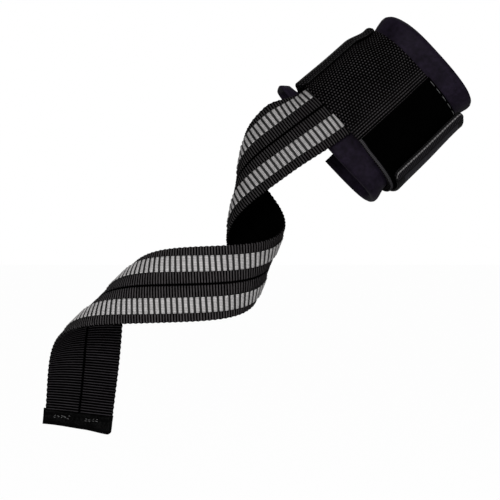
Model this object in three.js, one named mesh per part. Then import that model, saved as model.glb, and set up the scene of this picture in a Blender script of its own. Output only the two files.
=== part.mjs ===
// A padded wrist wrap with a grip strap, as it sits on a wrist that is left out.
// The cuff's own frame has x across the wrist (towards the little finger), y towards the back of the
// hand and z along the forearm (towards the elbow). All pieces are made there, and one group turns
// them into the part's frame, whose origin is the middle of the wrist hollow.

import * as THREE from 'three';

// How the cuff lies in space, in degrees: its rise above +X and its lean towards +Y.
const CUFF_RISE = 42.4;
const CUFF_LEAN = 7;

// The wrist hollow and the neoprene pad round it, in millimetres as all lengths here.
const WRIST_WIDTH = 55.5;
const WRIST_DEPTH = 41;
const PAD_THICKNESS = 4.5;
const PAD_LENGTH = 76;
const PAD_END_GAP = 6;
// How boxy the cuff's cross-section is: 2 is an ellipse, and more is flatter at palm and back.
const SECTION_POWER = 2.5;
// Where the pad's thumb corner is round the wrist, in degrees, and how narrow it is.
const FLAP_ANGLE = 158;
const FLAP_POWER = 16;

// Clearance that is kept between two pieces that touch.
const GAP = 0.3;

// Woven band over the pad, and the looped pile panel sewn on it.
const BAND_WIDTH = 50;
const BAND_THICKNESS = 2;
const BAND_END_INSET = 3;
const LOOP_THICKNESS = 1.5;
const LOOP_START_ACROSS = 7.5;
const LOOP_END_FROM_BACK = 15;

// Closing tab: from the thumb side round the back to the palm side, over the looped panel.
const TAB_WIDTH = 50;
const TAB_THICKNESS = 2;
const TAB_ROOT_ACROSS = 30.2;
const TAB_END_ACROSS = 32.6;
const TAB_CLIMB = 3.2;
const TAB_CORNER = 3.4;
const TAB_HEM_WIDTH = 3.7;
const TAB_HEM_RISE = 0.9;
const TAB_STEP_LENGTH = 11;
const TAB_STEP_MARGIN = 2;

// Grip strap: double webbing that comes out from under the band's hand end.
const STRAP_WIDTH = 38;
const STRAP_THICKNESS = 2.2;
const STRAP_FREE_LENGTH = 308.6;
const STRAP_HIDDEN_LENGTH = 30;
const STRAP_ROOT_ACROSS = 17.4;
const STRAP_ROOT_INSET = 2.6;
const STRAP_HEADING = 6.5;
const STRAP_DIVE = 8;
const STRAP_TWIST = 15.6;
const STRAP_LEAVES_PAD = 9;
const STRAP_BLEND = 27;
const STRAP_LIFT_SLOPE = 7;
const STRAP_LIFT_MARGIN = 3;
const STRAP_END_MARGIN = 5;
const TAB_LIFT_SPREAD = 2.5;
// Extra height of the stiff webbing where it spans the cuff's rounded corner.
const STRAP_CORNER_LIFT = 0.45;
const STRAP_HEM_LENGTH = 8.9;
const STRAP_HEM_OVERHANG = 0.5;
const STRAP_HEM_THICKNESS = 3.4;

// Two ribbed grip stripes along the strap's outer face.
const STRIPE_WIDTH = 8.2;
const STRIPE_OFFSET = 10.3;
const STRIPE_BASE = 0.35;
const STRIPE_RIB = 0.6;
const RIB_PITCH = 2.88;
const STRIPE_CLEARANCE = 0.56;

// How finely curved shapes are divided.
const ANGLE_STEP = 9;
const HIDDEN_STEPS = 4;
const ROLL_STEPS = 64;
const ARC_STEPS = 720;
// How far apart two points are taken to find a sheet's slope, round the cuff and along a sheet.
const SLOPE_ANGLE = 0.02;
const SLOPE_REACH = 0.5;

// Outer form of the pad. along is a share of half the pad's length (minus is the hand end), and
// the reaches are shares of half the outer width (thumb, little, flap) and depth (palm, back).
// flap is what the pad's corner at the thumb side stands out by.
const PAD_SECTIONS = [
  { along: -1.10, thumb: 0.93, flap: 0.66, little: 1.18, palm: 0.98, back: 1.12 },
  { along: -0.84, thumb: 0.93, flap: 0.47, little: 1.12, palm: 0.98, back: 1.07 },
  { along: -0.70, thumb: 0.92, flap: 0.08, little: 1.07, palm: 0.99, back: 1.02 },
  { along: -0.50, thumb: 0.91, flap: 0.00, little: 1.05, palm: 0.99, back: 1.00 },
  { along: 0.00, thumb: 0.89, flap: 0.00, little: 1.03, palm: 0.99, back: 1.00 },
  { along: 0.62, thumb: 0.90, flap: 0.00, little: 0.99, palm: 0.98, back: 0.98 },
  { along: 0.84, thumb: 0.96, flap: 0.00, little: 1.01, palm: 1.00, back: 1.00 },
  { along: 1.10, thumb: 1.02, flap: 0.00, little: 1.08, palm: 1.05, back: 1.05 },
];

// How far each rim of the pad is cut back at the sides and back, as shares of half its length.
const HAND_RIM = { thumb: 0.17, little: 0.08, palm: 0, back: 0.1 };
const ELBOW_RIM = { thumb: 0.055, little: 0, palm: 0, back: 0.04 };

// The three rolls that the strap takes on its way down. at and length are shares of the strap's
// free length, slant is the lean of the roll against square across, and turn is how far it rolls.
const STRAP_ROLLS = [
  { at: 0.0895, slant: 44.7, turn: 222, length: 0.224 },
  { at: 0.2985, slant: 24.3, turn: 128, length: 0.2465 },
  { at: 0.5282, slant: 48.6, turn: 197, length: 0.3065 },
];

const rad = THREE.MathUtils.degToRad;
const lerp = THREE.MathUtils.lerp;
const THUMB = rad(180);
const LITTLE = rad(360);
const BACK_START = rad(90);
const BACK_END = rad(450);

// Smooth rise from 0 at low to 1 at high; low may be the larger of the two.
function rise(value, low, high) {
  const share = THREE.MathUtils.clamp((value - low) / (high - low), 0, 1);
  return share * share * (3 - 2 * share);
}

// Reads one column of a table of sections by a smooth curve through its rows.
function readTable(rows, key, column, value) {
  let i = 0;
  while (i < rows.length - 2 && value > rows[i + 1][key]) i += 1;
  const before = rows[Math.max(i - 1, 0)];
  const low = rows[i];
  const high = rows[i + 1];
  const after = rows[Math.min(i + 2, rows.length - 1)];
  const span = high[key] - low[key];
  const share = THREE.MathUtils.clamp((value - low[key]) / span, 0, 1);
  const startSlope = (high[column] - before[column]) / (high[key] - before[key]);
  const endSlope = (after[column] - low[column]) / (after[key] - low[key]);
  const s2 = share * share;
  const s3 = s2 * share;
  return (2 * s3 - 3 * s2 + 1) * low[column] + (s3 - 2 * s2 + share) * span * startSlope
    + (3 * s2 - 2 * s3) * high[column] + (s3 - s2) * span * endSlope;
}

const HALF_LENGTH = PAD_LENGTH / 2;
const HALF_WIDTH = WRIST_WIDTH / 2 + PAD_THICKNESS;
const HALF_DEPTH = WRIST_DEPTH / 2 + PAD_THICKNESS;

// A point on the pad's outer skin, at an angle round the wrist and a place along the forearm.
function skinPoint(angle, along) {
  const share = along / HALF_LENGTH;
  const side = Math.cos(angle) < 0 ? 'thumb' : 'little';
  const face = Math.sin(angle) < 0 ? 'palm' : 'back';
  const halfWidth = HALF_WIDTH * readTable(PAD_SECTIONS, 'along', side, share);
  const halfDepth = HALF_DEPTH * readTable(PAD_SECTIONS, 'along', face, share);
  const x = Math.abs(Math.cos(angle) / halfWidth) ** SECTION_POWER;
  const y = Math.abs(Math.sin(angle) / halfDepth) ** SECTION_POWER;
  const flap = HALF_WIDTH * readTable(PAD_SECTIONS, 'along', 'flap', share);
  const flapShare = Math.max(0, Math.cos(angle - rad(FLAP_ANGLE))) ** FLAP_POWER;
  const reach = (x + y) ** (-1 / SECTION_POWER) + flap * flapShare;
  return new THREE.Vector3(reach * Math.cos(angle), reach * Math.sin(angle), along);
}

// The same point, moved square off the skin by a height (minus is towards the wrist).
function cuffPoint(angle, along, height) {
  const round = skinPoint(angle + SLOPE_ANGLE, along).sub(skinPoint(angle - SLOPE_ANGLE, along));
  const up = skinPoint(angle, along + SLOPE_REACH).sub(skinPoint(angle, along - SLOPE_REACH));
  return skinPoint(angle, along).addScaledVector(round.cross(up).normalize(), height);
}

// Angle that is reached after a distance round the skin at a place along the forearm.
function angleAfter(start, distance, along) {
  const step = Math.sign(distance) * 2 * Math.PI / ARC_STEPS;
  let angle = start;
  let left = Math.abs(distance);
  while (left > 0) {
    const length = skinPoint(angle + step, along).distanceTo(skinPoint(angle, along));
    angle += step * Math.min(1, left / length);
    left -= length;
  }
  return angle;
}

// Angle on the palm side at a distance across from the middle, at a height above the skin.
function palmAngle(across, height) {
  let low = THUMB;
  let high = LITTLE;
  while (high - low > 1e-6) {
    const middle = (low + high) / 2;
    if (cuffPoint(middle, 0, height).x < across) low = middle;
    else high = middle;
  }
  return low;
}

// Where the pad's rim lies along the forearm at an angle; end is -1 at the hand, 1 at the elbow.
function rimAlong(end, angle) {
  const rim = end < 0 ? HAND_RIM : ELBOW_RIM;
  const sideShare = Math.cos(angle) ** 4;
  const side = Math.cos(angle) < 0 ? rim.thumb : rim.little;
  const face = Math.sin(angle) < 0 ? rim.palm : rim.back;
  return end * HALF_LENGTH * (1 - lerp(face, side, sideShare));
}

// Angles that every layer of the cuff shares, between its own two ends, so that facets lie parallel.
function angleGrid(start, end) {
  const step = rad(ANGLE_STEP);
  const shared = layerEnds().flatMap((angle) => [angle, angle - 2 * Math.PI]);
  for (let k = Math.ceil(start / step); k * step < end; k += 1) {
    if (!shared.some((angle) => Math.abs(angle - k * step) < step / 4)) shared.push(k * step);
  }
  const margin = step / 16;
  const inner = shared.filter((angle) => angle > start + margin && angle < end - margin);
  return [start, ...inner.sort((a, b) => a - b), end];
}

// Angles at which the upper layers start and end.
function layerEnds() {
  return [LOOP_START, LOOP_END, TAB_ROOT, TAB_END + 2 * Math.PI];
}

const OVER_BAND = GAP + BAND_THICKNESS + GAP;
const OVER_LOOP = OVER_BAND + LOOP_THICKNESS + GAP;
const LOOP_START = palmAngle(LOOP_START_ACROSS, OVER_BAND + LOOP_THICKNESS);
const LOOP_END = angleAfter(BACK_END, -LOOP_END_FROM_BACK, 0);
const TAB_ROOT = palmAngle(-TAB_ROOT_ACROSS, OVER_BAND + TAB_THICKNESS);
const TAB_END = palmAngle(TAB_END_ACROSS, OVER_LOOP + TAB_THICKNESS) - 2 * Math.PI;

// A closed solid between a lower and an upper sheet of points, with walls round its four sides.
// Each cell is split along its longer diagonal, the way that a bent sheet stays straight.
function sheetSolid(rows, columns, place) {
  const points = [];
  const index = [];
  for (const upper of [false, true]) {
    for (let i = 0; i <= rows; i += 1) {
      for (let j = 0; j <= columns; j += 1) points.push(...place(i, j, upper).toArray());
    }
  }
  const at = (i, j, upper) => (upper ? (rows + 1) * (columns + 1) : 0) + i * (columns + 1) + j;
  const span = (a, b) => Math.hypot(...[0, 1, 2].map((k) => points[3 * a + k] - points[3 * b + k]));
  const quad = (a, b, c, d) => {
    if (span(a, c) > span(b, d)) index.push(a, b, c, a, c, d);
    else index.push(b, c, d, b, d, a);
  };
  for (let i = 0; i < rows; i += 1) {
    for (let j = 0; j < columns; j += 1) {
      quad(at(i, j, true), at(i + 1, j, true), at(i + 1, j + 1, true), at(i, j + 1, true));
      quad(at(i, j, false), at(i, j + 1, false), at(i + 1, j + 1, false), at(i + 1, j, false));
    }
    quad(at(i, 0, false), at(i + 1, 0, false), at(i + 1, 0, true), at(i, 0, true));
    quad(at(i, columns, true), at(i + 1, columns, true), at(i + 1, columns, false), at(i, columns, false));
  }
  for (let j = 0; j < columns; j += 1) {
    quad(at(0, j, true), at(0, j + 1, true), at(0, j + 1, false), at(0, j, false));
    quad(at(rows, j, false), at(rows, j + 1, false), at(rows, j + 1, true), at(rows, j, true));
  }
  return outwardGeometry(points, index);
}

// Gives the triangles the winding that makes the enclosed volume positive.
function outwardGeometry(points, index) {
  const corner = (k) => new THREE.Vector3().fromArray(points, 3 * index[k]);
  let volume = 0;
  for (let k = 0; k < index.length; k += 3) {
    volume += corner(k).dot(corner(k + 1).cross(corner(k + 2)));
  }
  if (volume < 0) {
    for (let k = 0; k < index.length; k += 3) [index[k], index[k + 1]] = [index[k + 1], index[k]];
  }
  const geometry = new THREE.BufferGeometry();
  geometry.setAttribute('position', new THREE.Float32BufferAttribute(points, 3));
  geometry.setIndex(index);
  geometry.computeVertexNormals();
  return geometry;
}

function namedMesh(name, geometry, colour, roughness) {
  const material = new THREE.MeshStandardMaterial({ color: colour, roughness, metalness: 0 });
  const mesh = new THREE.Mesh(geometry, material);
  mesh.name = name;
  return mesh;
}

// Columns at a rounded rim: distance in from it, and how full the wall is, as shares of half the wall.
const RIM_COLUMNS = [
  { inset: 0, fullness: 0.42 },
  { inset: 0.3, fullness: 0.78 },
  { inset: 1, fullness: 1 },
];
// Columns between the rims, as shares of half the pad's length.
const PAD_COLUMNS = [-0.8, -0.66, -0.5, -0.2, 0.2, 0.62, 0.8];

// The neoprene sleeve: open at the back, with flared and rounded rims.
function makePad() {
  const half = PAD_THICKNESS / 2;
  const gapAngle = angleAfter(BACK_START, PAD_END_GAP / 2, 0) - BACK_START;
  const angles = angleGrid(BACK_START + gapAngle, BACK_END - gapAngle);
  const handRim = RIM_COLUMNS.map(({ inset, fullness }) => ({ end: -1, inset, fullness }));
  const middle = PAD_COLUMNS.map((share) => ({ end: 0, share, fullness: 1 }));
  const elbowRim = RIM_COLUMNS.map(({ inset, fullness }) => ({ end: 1, inset, fullness })).reverse();
  const columns = [...handRim, ...middle, ...elbowRim];
  const place = (i, j, upper) => {
    const { end, inset, share, fullness } = columns[j];
    const free = THREE.MathUtils.clamp(
      share * HALF_LENGTH,
      rimAlong(-1, angles[i]) + PAD_THICKNESS,
      rimAlong(1, angles[i]) - PAD_THICKNESS,
    );
    const along = end === 0 ? free : rimAlong(end, angles[i]) - end * half * inset;
    return cuffPoint(angles[i], along, -half + (upper ? half : -half) * fullness);
  };
  const geometry = sheetSolid(angles.length - 1, columns.length - 1, place);
  return namedMesh('cuff_pad', geometry, 0x17161f, 0.85);
}

// Where the strap's hidden root lies under the band.
const HAND_EDGE = -BAND_WIDTH / 2;
const STRAP_SEAT = GAP + STRAP_CORNER_LIFT + STRAP_THICKNESS / 2;
const STRAP_ROOT_ALONG = HAND_EDGE + STRAP_ROOT_INSET;
const STRAP_ROOT_ANGLE = palmAngle(-STRAP_ROOT_ACROSS, STRAP_SEAT);
const ROOT_SIDESTEP = STRAP_HIDDEN_LENGTH * Math.sin(rad(STRAP_HEADING));
const LIFT_THUMB = angleAfter(STRAP_ROOT_ANGLE, -STRAP_WIDTH / 2 - STRAP_LIFT_MARGIN, 0);
const LIFT_THUMB_FOOT = angleAfter(LIFT_THUMB, -STRAP_LIFT_SLOPE, 0);
const LIFT_LITTLE = angleAfter(STRAP_ROOT_ANGLE, STRAP_WIDTH / 2 + ROOT_SIDESTEP + STRAP_LIFT_MARGIN, 0);
const LIFT_LITTLE_FOOT = angleAfter(LIFT_LITTLE, STRAP_LIFT_SLOPE, 0);
const LIFT_ELBOW = STRAP_ROOT_ALONG + STRAP_HIDDEN_LENGTH + STRAP_END_MARGIN;

// How far the strap's root lifts the layers above it, at an angle and a place along the forearm.
// spread is how much further than the lowest layer a stiffer upper layer bridges.
function strapLift(angle, along, spread) {
  const turned = angle < BACK_START ? angle + 2 * Math.PI : angle;
  const turn = spread / HALF_WIDTH;
  const round = rise(turned, LIFT_THUMB_FOOT - turn, LIFT_THUMB - turn)
    * rise(turned, LIFT_LITTLE_FOOT + turn, LIFT_LITTLE + turn);
  const reach = LIFT_ELBOW + spread;
  const height = STRAP_CORNER_LIFT + STRAP_THICKNESS + GAP;
  return height * round * rise(along, reach + STRAP_LIFT_SLOPE, reach);
}

// Columns that the band's layers share, as shares of half their width.
const BAND_COLUMNS = [-1, -0.75, -0.5, -0.25, 0, 0.25, 0.5, 0.75, 1];

// A layer of even width and thickness on the cuff, between two angles.
function cuffLayer(start, end, width, seat, thickness) {
  const angles = angleGrid(start, end);
  const place = (i, j, upper) => {
    const along = BAND_COLUMNS[j] * width / 2;
    const height = seat + strapLift(angles[i], along, 0) + (upper ? thickness : 0);
    return cuffPoint(angles[i], along, height);
  };
  return sheetSolid(angles.length - 1, BAND_COLUMNS.length - 1, place);
}

// The woven band, on the pad almost to the pad's two ends.
function makeBand() {
  const end = angleAfter(BACK_START, PAD_END_GAP / 2 + BAND_END_INSET, 0) - BACK_START;
  const geometry = cuffLayer(BACK_START + end, BACK_END - end, BAND_WIDTH, GAP, BAND_THICKNESS);
  return namedMesh('palm_band', geometry, 0x1b1a1d, 0.9);
}

// The looped pile panel that the tab presses onto, from the palm round to the back.
function makeLoopPanel() {
  const geometry = cuffLayer(LOOP_START, LOOP_END, BAND_WIDTH, OVER_BAND, LOOP_THICKNESS);
  return namedMesh('loop_panel', geometry, 0x060607, 1);
}

// Columns of the tab, closer at its rounded corners, and the least distance between its rows there.
const TAB_COLUMNS = [-1, -0.96, -0.86, -0.5, -0.25, 0, 0.25, 0.5, 0.86, 0.96, 1];
const TAB_CORNER_STEP = 0.15;

// How far a sheet's end is drawn back at a place across its width, for a rounded corner.
function cornerInset(across) {
  const past = Math.abs(across) - (TAB_WIDTH / 2 - TAB_CORNER);
  return past > 0 ? TAB_CORNER - Math.sqrt(Math.max(TAB_CORNER ** 2 - past ** 2, 0)) : 0;
}

// The closing tab. It runs from the palm's thumb side round the back, and its end is folded
// under itself as a hem. Angles fall along it, and pass 0 at the little-finger side.
function makeClosingTab() {
  const rootRate = TAB_ROOT - angleAfter(TAB_ROOT, -1, 0);
  const endRate = angleAfter(TAB_END, 1, 0) - TAB_END;
  const hemStart = TAB_END + TAB_HEM_WIDTH * endRate;
  const stepUp = angleAfter(LOOP_END - 2 * Math.PI, TAB_STEP_MARGIN, 0);
  const stepStart = angleAfter(stepUp, TAB_STEP_LENGTH, 0);
  const rows = [
    ...angleGrid(hemStart, TAB_ROOT).reverse().map((angle) => ({ angle, hem: 0 })),
    { angle: hemStart - GAP * endRate, hem: 1 },
    { angle: TAB_END, hem: 1 },
  ];
  const place = (i, j, upper) => {
    const across = TAB_COLUMNS[j] * TAB_WIDTH / 2;
    const highest = TAB_ROOT - rootRate * (cornerInset(across) + TAB_CORNER_STEP * i);
    const lowest = TAB_END + endRate * (cornerInset(across) + TAB_CORNER_STEP * (rows.length - 1 - i));
    const angle = THREE.MathUtils.clamp(rows[i].angle, lowest, highest);
    const along = across + TAB_CLIMB * (TAB_ROOT - angle) / (TAB_ROOT - TAB_END);
    const seat = lerp(OVER_BAND, OVER_LOOP, rise(angle, stepStart, stepUp))
      + strapLift(angle, along, TAB_LIFT_SPREAD);
    return cuffPoint(angle, along, seat + (upper ? TAB_THICKNESS + TAB_HEM_RISE * rows[i].hem : 0));
  };
  const geometry = sheetSolid(rows.length - 1, TAB_COLUMNS.length - 1, place);
  return namedMesh('closing_tab', geometry, 0x141318, 0.9);
}

// Running sums of one roll's path: how far it goes forward and how far down at each step.
function rollPath(turn, length) {
  const forward = [0];
  const down = [0];
  for (let k = 0; k < ROLL_STEPS; k += 1) {
    const angle = turn * rise((k + 0.5) / ROLL_STEPS, 0, 1);
    forward.push(forward[k] + Math.cos(angle) * length / ROLL_STEPS);
    down.push(down[k] + Math.sin(angle) * length / ROLL_STEPS);
  }
  const read = (list, share) => {
    const place = Math.min(share * ROLL_STEPS, ROLL_STEPS - 1e-9);
    const k = Math.floor(place);
    return lerp(list[k], list[k + 1], place - k);
  };
  return (share) => ({ forward: read(forward, share), down: read(down, share) });
}

const ROLLS = STRAP_ROLLS.map((row) => {
  const turn = rad(row.turn);
  const length = row.length * STRAP_FREE_LENGTH;
  const at = row.at * STRAP_FREE_LENGTH;
  return { at, slant: rad(row.slant), turn, length, path: rollPath(turn, length) };
});

// The strap laid through its rolls: s runs along it, t across it (towards the thumb side), and the
// result is in the flat strap's own directions, with z off its outer face.
function rolledPoint(s, t) {
  let point = new THREE.Vector3(s, t, 0);
  for (const roll of [...ROLLS].reverse()) {
    const c = Math.cos(roll.slant);
    const si = Math.sin(roll.slant);
    const past = THREE.MathUtils.clamp((s - roll.at) * c + t * si, 0, roll.length);
    const share = past / roll.length;
    const angle = roll.turn * rise(share, 0, 1);
    const { forward, down } = roll.path(share);
    const x = (point.x - roll.at) * c + point.y * si - past;
    const y = -(point.x - roll.at) * si + point.y * c;
    const z = point.z;
    const bentX = forward + x * Math.cos(angle) + z * Math.sin(angle);
    const bentZ = -down - x * Math.sin(angle) + z * Math.cos(angle);
    point = new THREE.Vector3(roll.at + bentX * c - y * si, bentX * si + y * c, bentZ);
  }
  return point;
}

// Directions of the strap where it comes out: along it, across it and off its outer face.
const STRAP_ALONG = new THREE.Vector3(
  -Math.sin(rad(STRAP_HEADING)) * Math.cos(rad(STRAP_DIVE)),
  Math.sin(rad(STRAP_DIVE)),
  -Math.cos(rad(STRAP_HEADING)) * Math.cos(rad(STRAP_DIVE)),
);
const STRAP_ACROSS = new THREE.Vector3(0, 1, 0).cross(STRAP_ALONG).normalize()
  .applyAxisAngle(STRAP_ALONG, rad(STRAP_TWIST));
const STRAP_FACE = STRAP_ACROSS.clone().cross(STRAP_ALONG);
const STRAP_ROOT = cuffPoint(STRAP_ROOT_ANGLE, STRAP_ROOT_ALONG, STRAP_SEAT);

// The middle layer of the strap: it lies on the pad under the band, and is free further on.
function strapMiddle(s, t) {
  const onCuff = 1 - rise(s, STRAP_LEAVES_PAD, STRAP_LEAVES_PAD + STRAP_BLEND);
  const rolled = rolledPoint(s, t);
  const free = STRAP_ROOT.clone().addScaledVector(STRAP_ALONG, rolled.x)
    .addScaledVector(STRAP_ACROSS, rolled.y).addScaledVector(STRAP_FACE, rolled.z);
  if (onCuff === 0) return free;
  const heading = rad(STRAP_HEADING);
  const along = STRAP_ROOT_ALONG - s * Math.cos(heading) + t * Math.sin(heading);
  const angle = angleAfter(STRAP_ROOT_ANGLE, -t * Math.cos(heading) - s * Math.sin(heading), 0);
  const laid = cuffPoint(angle, Math.max(along, HAND_EDGE), STRAP_SEAT).setZ(along);
  return free.lerp(laid, onCuff);
}

// A point at a height off the strap's middle layer, towards its outer face.
function strapPoint(s, t, height) {
  const ahead = strapMiddle(s + SLOPE_REACH, t).sub(strapMiddle(s - SLOPE_REACH, t));
  const aside = strapMiddle(s, t + SLOPE_REACH).sub(strapMiddle(s, t - SLOPE_REACH));
  return strapMiddle(s, t).addScaledVector(aside.cross(ahead).normalize(), height);
}

const STRIPE_START = STRAP_ROOT_INSET + STRIPE_CLEARANCE;
const STRAP_END = STRAP_FREE_LENGTH - STRAP_HEM_LENGTH;
const RIB_COUNT = Math.floor((STRAP_END - GAP - STRIPE_START) / RIB_PITCH);

// Columns across the strap lie at its edges, its middle and the edges of its two stripes.
const STRIPE_EDGES = [STRIPE_OFFSET - STRIPE_WIDTH / 2, STRIPE_OFFSET + STRIPE_WIDTH / 2];
const STRAP_COLUMNS = [
  -STRAP_WIDTH / 2, -STRIPE_EDGES[1], -STRIPE_EDGES[0], 0, STRIPE_EDGES[0], STRIPE_EDGES[1], STRAP_WIDTH / 2,
];

// The webbing: rows over its hidden root, then one at each rib's foot.
function makeStrap() {
  const rows = [];
  for (let k = 0; k < HIDDEN_STEPS; k += 1) {
    rows.push(lerp(-STRAP_HIDDEN_LENGTH, STRIPE_START, k / HIDDEN_STEPS));
  }
  for (let k = 0; k <= RIB_COUNT; k += 1) rows.push(STRIPE_START + k * RIB_PITCH);
  rows.push(STRAP_END - GAP);
  const half = STRAP_THICKNESS / 2;
  const place = (i, j, upper) => strapPoint(rows[i], STRAP_COLUMNS[j], upper ? half : -half);
  const geometry = sheetSolid(rows.length - 1, STRAP_COLUMNS.length - 1, place);
  return namedMesh('grip_strap', geometry, 0x2c2a2c, 0.8);
}

// The folded end of the strap, a little wider and thicker than the webbing.
function makeStrapHem() {
  const rows = [STRAP_END, (STRAP_END + STRAP_FREE_LENGTH) / 2, STRAP_FREE_LENGTH];
  const half = STRAP_HEM_THICKNESS / 2;
  const widening = 1 + 2 * STRAP_HEM_OVERHANG / STRAP_WIDTH;
  const place = (i, j, upper) => strapPoint(rows[i], STRAP_COLUMNS[j] * widening, upper ? half : -half);
  const geometry = sheetSolid(rows.length - 1, STRAP_COLUMNS.length - 1, place);
  return namedMesh('strap_end_hem', geometry, 0x08080a, 0.6);
}

// A ribbed stripe: each rib rises and falls once in a pitch. side is 1 at the thumb side.
function makeStripe(name, side, skippedRibs) {
  const seat = STRAP_THICKNESS / 2 + GAP;
  const start = STRIPE_START + skippedRibs * RIB_PITCH;
  const place = (i, j, upper) => {
    const rib = i % 2 === 1 ? STRIPE_RIB : 0;
    const height = seat + (upper ? STRIPE_BASE + rib : 0);
    return strapPoint(start + i * RIB_PITCH / 2, side * STRIPE_EDGES[j], height);
  };
  const geometry = sheetSolid(2 * (RIB_COUNT - skippedRibs), 1, place);
  return namedMesh(name, geometry, 0x8d8c8c, 0.7);
}

// The cuff's directions in the part's frame.
const towardsElbow = new THREE.Vector3(
  Math.cos(rad(CUFF_RISE)) * Math.cos(rad(CUFF_LEAN)),
  Math.sin(rad(CUFF_LEAN)),
  Math.sin(rad(CUFF_RISE)) * Math.cos(rad(CUFF_LEAN)),
);
const towardsLittle = new THREE.Vector3(Math.sin(rad(CUFF_RISE)), 0, -Math.cos(rad(CUFF_RISE)));
const towardsBack = towardsElbow.clone().cross(towardsLittle);

const wrap = new THREE.Group();
wrap.quaternion.setFromRotationMatrix(
  new THREE.Matrix4().makeBasis(towardsLittle, towardsBack, towardsElbow),
);
wrap.add(
  makePad(),
  makeBand(),
  makeLoopPanel(),
  makeClosingTab(),
  makeStrap(),
  makeStripe('grip_stripe_upper', 1, 1),
  makeStripe('grip_stripe_lower', -1, 0),
  makeStrapHem(),
);

const group = new THREE.Group();
group.add(wrap);

export default group;
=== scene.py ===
"""Looks of a padded wrist wrap with a grip strap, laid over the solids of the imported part.

All cloth is worked out in millimetres in the cuff's own frame (x across its front towards the side
where it closes, y towards its back, z along its hollow away from the strap) and then turned into
the part's frame. Each sheet's vertices keep where they lie on the flat cloth in an attribute, for
its weave.
"""

import math

import bpy
import numpy as np
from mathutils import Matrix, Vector


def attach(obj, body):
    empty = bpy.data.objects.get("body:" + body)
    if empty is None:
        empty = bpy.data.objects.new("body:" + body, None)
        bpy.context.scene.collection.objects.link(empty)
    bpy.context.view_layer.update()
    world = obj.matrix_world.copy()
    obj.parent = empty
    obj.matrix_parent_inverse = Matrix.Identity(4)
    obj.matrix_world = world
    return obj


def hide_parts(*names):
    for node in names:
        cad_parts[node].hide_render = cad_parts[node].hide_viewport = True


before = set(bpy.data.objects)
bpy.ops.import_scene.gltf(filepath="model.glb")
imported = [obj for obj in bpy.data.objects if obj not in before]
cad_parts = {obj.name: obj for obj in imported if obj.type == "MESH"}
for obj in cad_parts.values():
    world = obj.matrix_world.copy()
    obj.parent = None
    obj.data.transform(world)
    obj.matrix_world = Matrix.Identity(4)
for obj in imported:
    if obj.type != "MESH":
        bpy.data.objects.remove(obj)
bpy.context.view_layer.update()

MM = 0.001

# How the cuff lies in space, in degrees.
CUFF_RISE = math.radians(42.4)
CUFF_LEAN = math.radians(7)

# The hollow and the pad, in millimetres as all lengths until the mesh is made.
WRIST_WIDTH = 55.5
WRIST_DEPTH = 41.0
PAD_THICKNESS = 4.5
PAD_LENGTH = 76.0
PAD_END_GAP = 6.0
SECTION_POWER = 2.5
FLAP_ANGLE = math.radians(158)
FLAP_POWER = 16
GAP = 0.3

BAND_WIDTH = 50.0
BAND_THICKNESS = 2.0
BAND_END_INSET = 3.0
LOOP_THICKNESS = 1.5
LOOP_START_ACROSS = 7.5
LOOP_END_FROM_BACK = 15.0

TAB_WIDTH = 50.0
TAB_THICKNESS = 2.0
TAB_ROOT_ACROSS = 30.2
TAB_END_ACROSS = 32.6
TAB_CLIMB = 3.2
TAB_CORNER = 3.4
TAB_HEM_WIDTH = 3.7
TAB_HEM_RISE = 0.9
TAB_STEP_LENGTH = 11.0
TAB_STEP_MARGIN = 2.0

STRAP_WIDTH = 38.0
STRAP_THICKNESS = 2.2
STRAP_FREE_LENGTH = 308.6
STRAP_HIDDEN_LENGTH = 30.0
STRAP_ROOT_ACROSS = 17.4
STRAP_ROOT_INSET = 2.6
STRAP_HEADING = math.radians(6.5)
STRAP_DIVE = math.radians(8)
STRAP_TWIST = math.radians(15.6)
STRAP_LEAVES_PAD = 9.0
STRAP_BLEND = 27.0
THUMB_LEAVES_SOONER = 5.0
THUMB_FREE_SOONER = 9.0
STRAP_LIFT_SLOPE = 7.0
STRAP_LIFT_MARGIN = 3.0
SOFT_LIFT_SLOPE = 8.0
STRAP_END_MARGIN = 5.0
TAB_LIFT_SPREAD = 2.5
STRAP_CORNER_LIFT = 0.45
STRAP_HEM_LENGTH = 8.9
STRAP_HEM_OVERHANG = 0.5
STRAP_HEM_THICKNESS = 3.4

STRIPE_WIDTH = 8.2
STRIPE_OFFSET = 10.3
STRIPE_BASE = 0.35
STRIPE_RIB = 0.6
RIB_PITCH = 2.88
STRIPE_CLEARANCE = 0.56

# Outer form of the pad: along is a share of half its length, the other columns are shares of half
# its outer width (thumb, flap, little) and depth (palm, back).
PAD_COLUMN_NAMES = ("along", "thumb", "flap", "little", "palm", "back")
PAD_ROWS = (
    (-1.10, 0.93, 0.66, 1.18, 0.98, 1.12),
    (-0.84, 0.93, 0.47, 1.12, 0.98, 1.07),
    (-0.70, 0.92, 0.08, 1.07, 0.99, 1.02),
    (-0.50, 0.91, 0.00, 1.05, 0.99, 1.00),
    (0.00, 0.89, 0.00, 1.03, 0.99, 1.00),
    (0.62, 0.90, 0.00, 0.99, 0.98, 0.98),
    (0.84, 0.96, 0.00, 1.01, 1.00, 1.00),
    (1.10, 1.02, 0.00, 1.08, 1.05, 1.05),
)
PAD_SECTIONS = dict(zip(PAD_COLUMN_NAMES, np.array(PAD_ROWS).T))
HAND_RIM = {"thumb": 0.17, "little": 0.08, "palm": 0.0, "back": 0.1}
ELBOW_RIM = {"thumb": 0.055, "little": 0.0, "palm": 0.0, "back": 0.04}

# The strap's rolls: where each starts and how long it is as shares of the free length, and the
# lean of its axis and how far it turns, in degrees.
STRAP_ROLLS = (
    {"at": 0.0895, "slant": 44.7, "turn": 222, "length": 0.224},
    {"at": 0.2985, "slant": 24.3, "turn": 128, "length": 0.2465},
    {"at": 0.5282, "slant": 48.6, "turn": 197, "length": 0.3065},
)

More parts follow.
